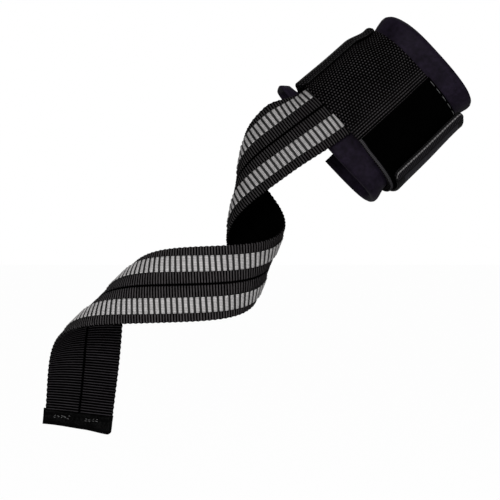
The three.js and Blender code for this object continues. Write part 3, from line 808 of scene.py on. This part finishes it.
def calc(tree, operation, *values):
    """The output of a Math node."""
    return add_node(tree, "ShaderNodeMath", dict(enumerate(values)), operation=operation).outputs[0]


def product(tree, first, *others):
    """All the values multiplied."""
    for other in others:
        first = calc(tree, "MULTIPLY", first, other)
    return first


def ramp(tree, value, low, high, start=0.0, stop=1.0):
    """A smooth step of a value between two limits."""
    inputs = {"Value": value, "From Min": low, "From Max": high, "To Min": start, "To Max": stop}
    node = add_node(tree, "ShaderNodeMapRange", inputs, interpolation_type="SMOOTHSTEP")
    return node.outputs["Result"]


def mixed(tree, factor, a, b):
    """A colour mixed from two."""
    return add_node(tree, "ShaderNodeMix", {0: factor, 6: a, 7: b}, data_type="RGBA").outputs[2]


def scaled(tree, colour, factor):
    """A colour made brighter or darker."""
    inputs = {0: colour, 3: factor}
    return add_node(tree, "ShaderNodeVectorMath", inputs, operation="SCALE").outputs[0]


def split(tree, vector):
    """The three parts of a vector: on laid cloth along it, across it and off its middle layer."""
    return add_node(tree, "ShaderNodeSeparateXYZ", {0: vector}).outputs


def noise(tree, place, scale, detail):
    """A cloudy noise round 0.5."""
    inputs = {"Vector": place, "Scale": scale, "Detail": detail}
    return add_node(tree, "ShaderNodeTexNoise", inputs).outputs[0]


def wave(tree, value, pitch, shift=0.0):
    """0.5 + 0.5 cos of a length, with 1 at each multiple of the pitch."""
    turns = calc(tree, "MULTIPLY", calc(tree, "DIVIDE", value, pitch), 2 * math.pi)
    return calc(tree, "MULTIPLY_ADD", calc(tree, "COSINE", calc(tree, "ADD", turns, shift)), 0.5, 0.5)


def shade(value, tint=(1, 1, 1)):
    """A colour of a linear brightness, with a slight tint."""
    return (*(value * part for part in tint), 1.0)


def new_group(name, inputs, outputs):
    """A node group with named sockets. inputs maps a name to its default, outputs to its kind."""
    tree = bpy.data.node_groups.new(name, "ShaderNodeTree")
    for key, value in inputs.items():
        kind = {3: "NodeSocketVector", 4: "NodeSocketColor"}.get(
            len(value) if hasattr(value, "__len__") else 1, "NodeSocketFloat"
        )
        socket = tree.interface.new_socket(key, in_out="INPUT", socket_type=kind)
        socket.default_value = value
    for key, kind in outputs.items():
        tree.interface.new_socket(key, in_out="OUTPUT", socket_type=kind)
    return tree, tree.nodes.new("NodeGroupInput").outputs, tree.nodes.new("NodeGroupOutput").inputs


# Scale and detail of the noises: along a thread, over the whole cloth, in patches, and of lint.
THREAD_NOISE = (0.9, 3.0)
CLOUD_NOISE = (0.09, 4.0)
PATCH_NOISE = (0.42, 3.0)
LINT_NOISE = (2.1, 2.0)
LINT_LIMITS = (0.66, 0.8)
TONE_SPREAD = 0.7
FIBRE_DETAIL = 5.0
FIBRE_ROUGHNESS = 0.65


def make_thread_group():
    """Raised threads in rows, each row half a thread on: how near each place is to a crest."""
    tree, given, out = new_group(
        "raised_threads",
        {"Laid": (0, 0, 0), "Row Pitch": 1.0, "Thread Pitch": 1.0, "Uneven": 0.3},
        {"Crest": "NodeSocketFloat"},
    )
    parts = split(tree, given["Laid"])
    row = calc(tree, "ROUND", calc(tree, "DIVIDE", parts[0], given["Row Pitch"]))
    across = wave(tree, parts[0], given["Row Pitch"])
    along = wave(tree, parts[1], given["Thread Pitch"], calc(tree, "MULTIPLY", row, math.pi))
    stray = calc(tree, "SUBTRACT", noise(tree, given["Laid"], *THREAD_NOISE), 0.5)
    uneven = calc(tree, "MULTIPLY", stray, given["Uneven"])
    tree.links.new(calc(tree, "ADD", calc(tree, "MULTIPLY", across, along), uneven), out["Crest"])
    return tree


def make_tone_group():
    """Cloth's unevenness: a soft cloudy change of tone, with a few paler specks of lint."""
    tree, given, out = new_group(
        "cloth_tone",
        {"Laid": (0, 0, 0), "Colour": shade(0.02), "Lint": shade(0.1), "Cloud": 0.25, "Specks": 0.05},
        {"Colour": "NodeSocketColor", "Tone": "NodeSocketFloat"},
    )
    cloud = noise(tree, given["Laid"], *CLOUD_NOISE)
    patch = noise(tree, given["Laid"], *PATCH_NOISE)
    tone = calc(tree, "MULTIPLY_ADD", calc(tree, "ADD", cloud, patch), TONE_SPREAD, -TONE_SPREAD)
    factor = calc(tree, "MULTIPLY_ADD", tone, calc(tree, "MULTIPLY", given["Cloud"], 2.0), 1.0)
    lint = ramp(tree, noise(tree, given["Laid"], *LINT_NOISE), *LINT_LIMITS)
    specks = calc(tree, "MULTIPLY", lint, given["Specks"])
    colour = mixed(tree, specks, scaled(tree, given["Colour"], factor), given["Lint"])
    tree.links.new(colour, out["Colour"])
    tree.links.new(tone, out["Tone"])
    return tree


def make_fibre_group():
    """Fine fibres and fuzz as a height."""
    tree, given, out = new_group(
        "fibre_fuzz",
        {"Laid": (0, 0, 0), "Scale": 2.0, "Stretch": (1.0, 1.0, 1.0)},
        {"Height": "NodeSocketFloat"},
    )
    stretched = add_node(
        tree, "ShaderNodeVectorMath", {0: given["Laid"], 1: given["Stretch"]}, operation="MULTIPLY"
    )
    inputs = {"Vector": stretched.outputs[0], "Scale": given["Scale"]}
    inputs.update({"Detail": FIBRE_DETAIL, "Roughness": FIBRE_ROUGHNESS})
    tree.links.new(add_node(tree, "ShaderNodeTexNoise", inputs).outputs[0], out["Height"])
    return tree


THREADS = make_thread_group()
TONE = make_tone_group()
FIBRES = make_fibre_group()
ALONG_THREADS = (1.0, 0.3, 1.0)
ALONG_RIBS = (1.0, 0.25, 1.0)


def crests(tree, laid, row_pitch, thread_pitch, uneven):
    inputs = {"Laid": laid, "Row Pitch": row_pitch, "Thread Pitch": thread_pitch, "Uneven": uneven}
    return add_node(tree, "ShaderNodeGroup", inputs, node_tree=THREADS).outputs["Crest"]


def toned(tree, laid, colour, lint, cloud=0.25, specks=0.05):
    """A cloth's uneven colour, and how much brighter or darker it is."""
    inputs = {"Laid": laid, "Colour": colour, "Lint": lint, "Cloud": cloud, "Specks": specks}
    outputs = add_node(tree, "ShaderNodeGroup", inputs, node_tree=TONE).outputs
    return outputs["Colour"], outputs["Tone"]


def fibres(tree, laid, scale, stretch=(1.0, 1.0, 1.0)):
    inputs = {"Laid": laid, "Scale": scale, "Stretch": stretch}
    return add_node(tree, "ShaderNodeGroup", inputs, node_tree=FIBRES).outputs["Height"]


def new_material(name, roughness, specular):
    """A cloth material: its tree, its shader and the place on the flat cloth."""
    material = bpy.data.materials.new(name)
    material.use_nodes = True
    tree = material.node_tree
    shader = tree.nodes["Principled BSDF"]
    shader.inputs["Roughness"].default_value = roughness
    shader.inputs["Specular IOR Level"].default_value = specular
    laid = add_node(tree, "ShaderNodeAttribute", attribute_name="laid").outputs["Vector"]
    return material, tree, shader, laid


def bump(tree, shader, height, strength, distance):
    inputs = {"Height": height, "Strength": strength, "Distance": distance * MM}
    normal = add_node(tree, "ShaderNodeBump", inputs).outputs["Normal"]
    tree.links.new(normal, shader.inputs["Normal"])


# The colours are linear; lengths in the materials are in millimetres on the flat cloth.
JERSEY = shade(0.0064, (1.0, 0.68, 1.45))
JERSEY_LINT = shade(0.03)
KNIT_ROW_PITCH = 0.55
KNIT_STITCH_PITCH = 0.8


def neoprene_material():
    material, tree, shader, laid = new_material("neoprene_jersey", 0.55, 0.04)
    colour, _ = toned(tree, laid, JERSEY, JERSEY_LINT, cloud=1.3)
    tree.links.new(colour, shader.inputs["Base Color"])
    knit = crests(tree, laid, KNIT_ROW_PITCH, KNIT_STITCH_PITCH, 0.6)
    bump(tree, shader, knit, 0.35, 0.08)
    return material


# The band's threads, in the hollows and on their crests. Its last ribs before the panel are plain.
BAND_HOLLOW = shade(0.0004)
BAND_LINT = shade(0.006)
BAND_THREAD = shade(0.034, (1.0, 0.92, 0.97))
CREST_LIMITS = (0.3, 0.85)
RIDGE_LIMITS = (0.4, 1.0)
PLAIN_RIBS_START = 9.0
PLAIN_RIBS_FULL = 2.0
PLAIN_RIBS_STRENGTH = 0.5
BAND_CLOUD = 1.6


def coarse_weave(tree, laid, uneven):
    """Where the band's raised threads crest."""
    crest = crests(tree, laid, BAND_RIB_PITCH, BAND_THREAD_PITCH, uneven)
    return ramp(tree, crest, *CREST_LIMITS)


def band_material():
    material, tree, shader, laid = new_material("band_webbing", 0.5, 0.0)
    hollow, tone = toned(tree, laid, BAND_HOLLOW, BAND_LINT, cloud=0.3)
    around = split(tree, laid)[0]
    cloud = calc(tree, "MULTIPLY_ADD", tone, BAND_CLOUD, 1.0)
    crest = calc(tree, "MULTIPLY", coarse_weave(tree, laid, 0.5), cloud)
    ridge = ramp(tree, wave(tree, around, BAND_RIB_PITCH), *RIDGE_LIMITS)
    panel = arc_at(LOOP_START)
    beside_panel = ramp(
        tree, around, panel - PLAIN_RIBS_START, panel - PLAIN_RIBS_FULL, 0.0, PLAIN_RIBS_STRENGTH
    )
    factor = calc(tree, "MAXIMUM", crest, calc(tree, "MULTIPLY", ridge, beside_panel))
    tree.links.new(mixed(tree, factor, hollow, BAND_THREAD), shader.inputs["Base Color"])
    bump(tree, shader, fibres(tree, laid, 3.0, ALONG_THREADS), 0.4, 0.1)
    return material


# The tab, from its hemmed end: bound edge, ribbed hem, a groove painted near black (painted shade in
# the recess), a smooth field painted paler (painted light) and plain ribs up to the coarse weave
# where it is sewn down. Spans are from none to full, in the order they are met.
TAB_HOLLOW = shade(0.0015)
TAB_LINT = shade(0.02)
HEM_RIB = shade(0.016, (1.0, 0.92, 1.08))
PLAIN_RIB = shade(0.012, (1.0, 0.95, 1.05))
# The field's paler tone is painted light; the groove's near black is painted shade.
FIELD_IN_PAINTED_LIGHT = shade(0.016, (1.0, 0.95, 1.15))
GROOVE_PAINTED_SHADE = shade(0.0006)
BOUND_EDGE = shade(0.16, (1.0, 0.97, 0.97))
COARSE_HOLLOW = shade(0.0005)
COARSE_THREAD = shade(0.034, (1.0, 0.92, 1.0))
TAB_RIB_LIMITS = (0.2, 0.9)
TAB_PICK_PITCH = 1.1
HEM_TOP = (0.9, 1.5)
HEM_BLEND = 0.3
FIELD_START = (5.2, 5.6)
FIELD_END = (38.0, 37.4)
FIELD_SIDES = (20.2, 19.6)
GROOVE_START = (3.6, 4.0)
GROOVE_END = (5.2, 4.6)
BOUND_SPAN = (0.75, 0.4)
BOUND_TOP = (0.9, 1.4)
BOUND_TURN_PITCH = 1.9
BOUND_TURN_SHARE = 0.6
COARSE_SPAN = (12.0, 8.0)


def tab_material():
    material, tree, shader, laid = new_material("tab_webbing", 0.5, 0.02)
    around, across, off = split(tree, laid)
    from_end = calc(tree, "SUBTRACT", around, TAB_START_ARC)
    from_root = calc(tree, "SUBTRACT", TAB_STOP_ARC, around)
    hollow, _ = toned(tree, laid, TAB_HOLLOW, TAB_LINT, cloud=0.35)
    ribs = ramp(tree, wave(tree, across, TAB_RIB_PITCH), *TAB_RIB_LIMITS)
    picks = wave(tree, around, TAB_PICK_PITCH)
    hem_end = ramp(tree, from_end, TAB_HEM_WIDTH + HEM_BLEND, TAB_HEM_WIDTH - HEM_BLEND)
    hem = calc(tree, "MULTIPLY", hem_end, ramp(tree, off, *HEM_TOP))
    plain = mixed(tree, calc(tree, "MULTIPLY", ribs, picks), hollow, PLAIN_RIB)
    colour = mixed(tree, hem, plain, mixed(tree, ribs, hollow, HEM_RIB))
    field = product(
        tree,
        ramp(tree, from_end, *FIELD_START),
        ramp(tree, from_end, *FIELD_END),
        ramp(tree, calc(tree, "ABSOLUTE", across), *FIELD_SIDES),
    )
    # Painted light: the smooth field is painted paler than the ribs.
    colour = mixed(tree, field, colour, FIELD_IN_PAINTED_LIGHT)
    groove = product(tree, ramp(tree, from_end, *GROOVE_START), ramp(tree, from_end, *GROOVE_END))
    # Painted shade: the sunk groove is painted near black, darker than the tab's own hollows.
    colour = mixed(tree, groove, colour, GROOVE_PAINTED_SHADE)
    bound = product(tree, ramp(tree, from_end, *BOUND_SPAN), ramp(tree, off, *BOUND_TOP))
    turns = wave(tree, across, BOUND_TURN_PITCH)
    turns = calc(tree, "MULTIPLY_ADD", turns, BOUND_TURN_SHARE, 1 - BOUND_TURN_SHARE)
    colour = mixed(tree, calc(tree, "MULTIPLY", bound, turns), colour, BOUND_EDGE)
    coarse = mixed(tree, coarse_weave(tree, laid, 0.6), COARSE_HOLLOW, COARSE_THREAD)
    colour = mixed(tree, ramp(tree, from_root, *COARSE_SPAN), colour, coarse)
    tree.links.new(colour, shader.inputs["Base Color"])
    bump(tree, shader, picks, 0.25, 0.1)
    return material


PILE = shade(0.0004)
PILE_LINT = shade(0.004)
SELVAGE_HOLLOW = shade(0.012)
SELVAGE_THREAD = shade(0.045, (1.0, 0.95, 1.05))
SELVAGE_PICK_PITCH = 0.8
SELVAGE_BLEND = (0.1, -0.5)


def pile_material():
    material, tree, shader, laid = new_material("loop_pile", 0.9, 0.0)
    around, along, _ = split(tree, laid)
    from_edge = calc(tree, "ADD", along, BAND_WIDTH / 2)
    selvage = ramp(tree, from_edge, *(LOOP_SELVAGE + blend for blend in SELVAGE_BLEND))
    woven = mixed(tree, wave(tree, around, SELVAGE_PICK_PITCH), SELVAGE_HOLLOW, SELVAGE_THREAD)
    pile, _ = toned(tree, laid, PILE, PILE_LINT, specks=0.03)
    tree.links.new(mixed(tree, selvage, pile, woven), shader.inputs["Base Color"])
    bump(tree, shader, fibres(tree, laid, 2.2), 0.6, 0.3)
    return material


# The webbing's back is painted darker, its ribs fainter, up to its second turn: painted shade of the
# fold. Its face is painted paler towards the end: painted light.
PAINTED_SHADE_TO_LIGHT_SPAN = (105.0, 160.0)
STRAP_HOLLOW = shade(0.0003)
STRAP_LINT = shade(0.012)
BACK_PAINTED_SHADE = shade(0.0012)
BACK_FAR = shade(0.03, (1.0, 0.92, 1.0))
FACE_NEAR = shade(0.03, (1.0, 0.93, 0.96))
FACE_PAINTED_LIGHT = shade(0.052, (1.0, 0.93, 0.96))
OUTER_FACE = (-0.4, 0.4)
STRAP_THREAD_PITCH = 0.62
STRAP_THREAD_SHARE = 0.35
STRAP_UNEVEN = 1.6
SEAM_CLEAR = (0.35, 0.95)
FACE_RIB_LIMITS = (0.3, 0.9)
BACK_RIB_LIMITS = (0.68, 1.0)


def strap_material():
    material, tree, shader, laid = new_material("strap_webbing", 0.5, 0.0)
    along, across, off = split(tree, laid)
    ribs = wave(tree, calc(tree, "SUBTRACT", along, RIB_START), STRAP_RIB_PITCH)
    outer = ramp(tree, off, *OUTER_FACE)
    threads = wave(tree, across, STRAP_THREAD_PITCH)
    stray = calc(tree, "SUBTRACT", fibres(tree, laid, 0.5, ALONG_RIBS), 0.5)
    uneven = calc(tree, "MULTIPLY_ADD", stray, STRAP_UNEVEN, 1.0)
    seam = ramp(tree, calc(tree, "ABSOLUTE", across), *SEAM_CLEAR)
    worn = calc(tree, "MULTIPLY_ADD", threads, STRAP_THREAD_SHARE, 1 - STRAP_THREAD_SHARE)
    on_face = calc(tree, "MULTIPLY", ramp(tree, ribs, *FACE_RIB_LIMITS), outer)
    inner = calc(tree, "SUBTRACT", 1.0, outer)
    on_back = calc(tree, "MULTIPLY", ramp(tree, ribs, *BACK_RIB_LIMITS), inner)
    factor = product(tree, calc(tree, "ADD", on_face, on_back), seam, worn, uneven)
    hollow, _ = toned(tree, laid, STRAP_HOLLOW, STRAP_LINT, cloud=0.35, specks=0.02)
    # Painted shade on the back up to the second turn, giving way to painted light on the face further
    # along.
    further = ramp(tree, along, *PAINTED_SHADE_TO_LIGHT_SPAN)
    back = mixed(tree, further, BACK_PAINTED_SHADE, BACK_FAR)
    face = mixed(tree, further, FACE_NEAR, FACE_PAINTED_LIGHT)
    light = mixed(tree, outer, back, face)
    tree.links.new(mixed(tree, factor, hollow, light), shader.inputs["Base Color"])
    bump(tree, shader, threads, 0.25, 0.08)
    return material


GRIP_BASE = shade(0.006)
GRIP_GREY = (0.27, 0.262, 0.262)
GRIP_PAINTED_LIGHT = (0.9, 1.25)
BLOCK_RISE = (0.1, 0.32)
BLOCK_TONE = (1.3, 0.42)
BLOCK_LINES = (-0.55, 1.18)


def stripe_material():
    material, tree, shader, laid = new_material("grip_rubber", 0.6, 0.2)
    along, across, off = split(tree, laid)
    block = ramp(tree, off, *(STRIPE_BASE / 2 + height for height in BLOCK_RISE))
    threads = wave(tree, calc(tree, "SUBTRACT", across, STRIPE_OFFSET), GRIP_THREAD_PITCH)
    grain = fibres(tree, laid, 0.7)
    tone = calc(tree, "MULTIPLY_ADD", grain, *BLOCK_TONE)
    lined = calc(tree, "MULTIPLY", tone, calc(tree, "MULTIPLY_ADD", threads, *BLOCK_LINES))
    # Painted light: the grey blocks are painted paler further along the strap.
    worn = ramp(tree, along, *PAINTED_SHADE_TO_LIGHT_SPAN, *GRIP_PAINTED_LIGHT)
    grey = scaled(tree, GRIP_GREY, calc(tree, "MULTIPLY", lined, worn))
    tree.links.new(mixed(tree, block, GRIP_BASE, grey), shader.inputs["Base Color"])
    bump(tree, shader, grain, 0.3, 0.1)
    return material


FOLD = shade(0.0004)
FOLD_LINT = shade(0.02)


def hem_material():
    material, tree, shader, laid = new_material("folded_end", 0.4, 0.02)
    colour, _ = toned(tree, laid, FOLD, FOLD_LINT, specks=0.08)
    tree.links.new(colour, shader.inputs["Base Color"])
    bump(tree, shader, fibres(tree, laid, 1.1), 0.6, 0.4)
    return material


# A thread's darker and paler places, as shares of its brightness; this noise is over metres.
THREAD_DARKEST = 0.45
THREAD_PALEST = 1.5
THREAD_PATCHES = (900.0, 2.0)
THREAD_GLOSS = 0.3


def thread_material(name, value, roughness):
    material, tree, shader, _ = new_material(name, roughness, THREAD_GLOSS)
    position = add_node(tree, "ShaderNodeTexCoord").outputs["Object"]
    patches = noise(tree, position, *THREAD_PATCHES)
    colour = mixed(tree, patches, shade(value * THREAD_DARKEST), shade(value * THREAD_PALEST))
    tree.links.new(colour, shader.inputs["Base Color"])
    return material


def finish_piece(obj, material, slot, *nodes):
    obj.data.materials.append(material)
    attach(obj, "root")
    if nodes:
        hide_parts(*nodes)
    return obj


pad = finish_piece(make_pad(), neoprene_material(), "neoprene", "cuff_pad")
band = finish_piece(make_band(), band_material(), "band_webbing", "palm_band")
loop = finish_piece(make_loop_panel(), pile_material(), "loop_pile", "loop_panel")
tab = finish_piece(make_tab(), tab_material(), "band_webbing", "closing_tab")
strap = finish_piece(make_strap(), strap_material(), "strap_webbing", "grip_strap")
rubber = stripe_material()
upper = finish_piece(make_stripe("grip_blocks_upper", 1), rubber, "grip_rubber", "grip_stripe_upper")
lower = finish_piece(make_stripe("grip_blocks_lower", -1), rubber, "grip_rubber", "grip_stripe_lower")
hem = finish_piece(make_hem(), hem_material(), "hem_tape", "strap_end_hem")

# Stitching that shows: two rows where the tab is sewn down, dashes on the pile panel's back edge
# and loose clusters along the strap's folded end.
dark_thread = thread_material("dark_thread", 0.022, 0.5)
panel_thread = thread_material("panel_thread", 0.05, 0.5)
pale_thread = thread_material("pale_thread", 0.07, 0.4)
ROOT_STITCHES = {"pitch": 2.3, "length": 1.9}
ROOT_THREAD = 0.42
INNER_ROW = 0.9
OUTER_ROW = 5.2
OUTER_ROW_SUNK = 0.1
PANEL_STITCHES = {"pitch": 4.6, "length": 3.2}
PANEL_THREAD = 0.5
PANEL_ROW = (2, 30)
PANEL_ROW_INSET = 1.2
PANEL_ROW_HEIGHT = 0.15
FOLD_STITCHES = {"pitch": 1.9, "length": 1.1}
FOLD_THREAD = 0.34
FOLD_CLUSTERS = ((-13.5, -3.0), (4.5, 12.5))
FOLD_ROWS = (-0.35, 0.4)
FOLD_STRAY = 0.45
FOLD_ROW_HEIGHT = 0.02
FOLD_ARCH = 0.2


def root_stitches(name, from_root, height):
    side = TAB_WIDTH / 2 - TAB_CORNER
    places = stitch_places((-side, side), TAB_STOP_ARC - from_root, **ROOT_STITCHES, swap=True)
    threads = stitches(name, tab_place, *places, height, ROOT_THREAD)
    return finish_piece(threads, dark_thread, "band_webbing")


tab_top = TAB_THICKNESS / 2
inner_stitches = root_stitches("tab_inner_stitching", INNER_ROW, tab_top - TAB_ROOT_THINNER)
outer_stitches = root_stitches("tab_outer_stitching", OUTER_ROW, tab_top - OUTER_ROW_SUNK)


def panel_place(u, v, height):
    angle = angle_at(u)
    top = OVER_BAND + LOOP_THICKNESS + strap_lift(angle, v, 0)
    return cuff_point(angle, v, top + height)


panel_range = [arc_at(LOOP_START) + distance for distance in PANEL_ROW]
panel_places = stitch_places(panel_range, BAND_WIDTH / 2 - PANEL_ROW_INSET, **PANEL_STITCHES)
panel_threads = stitches(
    "panel_edge_stitching", panel_place, *panel_places, PANEL_ROW_HEIGHT, PANEL_THREAD
)
panel_stitches = finish_piece(panel_threads, panel_thread, "loop_pile")

fold_rows = [
    stitch_places(span, HEM_SEAM + shift, **FOLD_STITCHES, swap=True)
    for span in FOLD_CLUSTERS
    for shift in FOLD_ROWS
]
fold_starts = np.concatenate([row[0] for row in fold_rows])
fold_ends = np.concatenate([row[1] for row in fold_rows])
fold_stray = np.random.default_rng(5).uniform(-FOLD_STRAY, FOLD_STRAY, fold_starts.shape)
fold_threads = stitches(
    "strap_end_stitching",
    strap_point,
    fold_starts + fold_stray,
    fold_ends - fold_stray[:, ::-1],
    -STRAP_HEM_THICKNESS / 2 - FOLD_ROW_HEIGHT,
    FOLD_THREAD,
    arch=-FOLD_ARCH,
)
fold_stitches = finish_piece(fold_threads, pale_thread, "hem_tape")

# Camera at the photograph's view: level, looking along +Y. Places are in metres from here on.
CAMERA_PLACE = (-0.06579, -0.9, -0.07526)
SENSOR_WIDTH = 36
LENS = 123.12
camera_data = bpy.data.cameras.new("camera")
camera_data.sensor_width = SENSOR_WIDTH
camera_data.lens = LENS
camera = bpy.data.objects.new("camera", camera_data)
camera.location = CAMERA_PLACE
camera.rotation_euler = (math.pi / 2, 0, 0)
bpy.context.scene.collection.objects.link(camera)
bpy.context.scene.camera = camera

# Floor, far enough below for the wrap to hang clear, and nearly white to the camera.
FLOOR_SIZE = 60
FLOOR_HEIGHT = -0.34
FLOOR_TONE = 0.85
FLOOR_GLOW = 1.01
FLOOR_GLOW_SHARE = 0.97
bpy.ops.object.select_all(action="DESELECT")
bpy.ops.mesh.primitive_plane_add(size=FLOOR_SIZE, location=(0, 0, FLOOR_HEIGHT))
floor = bpy.context.object
floor.name = "floor"
floor_material = bpy.data.materials.new("pale_floor")
floor_material.use_nodes = True
floor_tree = floor_material.node_tree
floor_shader = floor_tree.nodes["Principled BSDF"]
floor_shader.inputs["Base Color"].default_value = shade(FLOOR_TONE)
floor_shader.inputs["Roughness"].default_value = 0.9
glow = add_node(floor_tree, "ShaderNodeEmission", {"Color": shade(1.0), "Strength": FLOOR_GLOW})
seen = add_node(floor_tree, "ShaderNodeLightPath").outputs["Is Camera Ray"]
glow_share = calc(floor_tree, "MULTIPLY", seen, FLOOR_GLOW_SHARE)
floor_inputs = {0: glow_share, 1: floor_shader.outputs[0], 2: glow.outputs[0]}
floor_mix = add_node(floor_tree, "ShaderNodeMixShader", floor_inputs)
floor_tree.links.new(floor_mix.outputs[0], floor_tree.nodes["Material Output"].inputs["Surface"])
floor.data.materials.append(floor_material)

# A pale room: white to the camera, and a softer light on the cloth.
ROOM_LIGHT = 0.18
world = bpy.data.worlds.new("pale_room")
bpy.context.scene.world = world
world.use_nodes = True
room = world.node_tree
room.nodes.clear()
seen = add_node(room, "ShaderNodeLightPath").outputs["Is Camera Ray"]
soft = add_node(room, "ShaderNodeBackground", {"Color": shade(1.0), "Strength": ROOM_LIGHT})
white = add_node(room, "ShaderNodeBackground", {"Color": shade(1.0), "Strength": 1.0})
both = add_node(room, "ShaderNodeMixShader", {0: seen, 1: soft.outputs[0], 2: white.outputs[0]})
add_node(room, "ShaderNodeOutputWorld", {0: both.outputs[0]})

OBJECT_MIDDLE = (-0.06, 0.0, -0.06)
# Each light's name, place, size and power.
LIGHTS = (
    ("key", (-0.45, -1.3, 0.3), 0.6, 16),
    ("fill", (0.9, -0.9, -0.3), 0.8, 8),
    ("top", (0.3, 0.5, 1.1), 0.8, 5),
)
for name, place, size, power in LIGHTS:
    data = bpy.data.lights.new(name, "AREA")
    data.shape = "DISK"
    data.size = size
    data.energy = power
    light = bpy.data.objects.new(name, data)
    light.location = place
    aim = Vector(OBJECT_MIDDLE) - Vector(place)
    light.rotation_euler = aim.to_track_quat("-Z", "Y").to_euler()
    bpy.context.scene.collection.objects.link(light)

bpy.context.scene.view_settings.view_transform = "Standard"
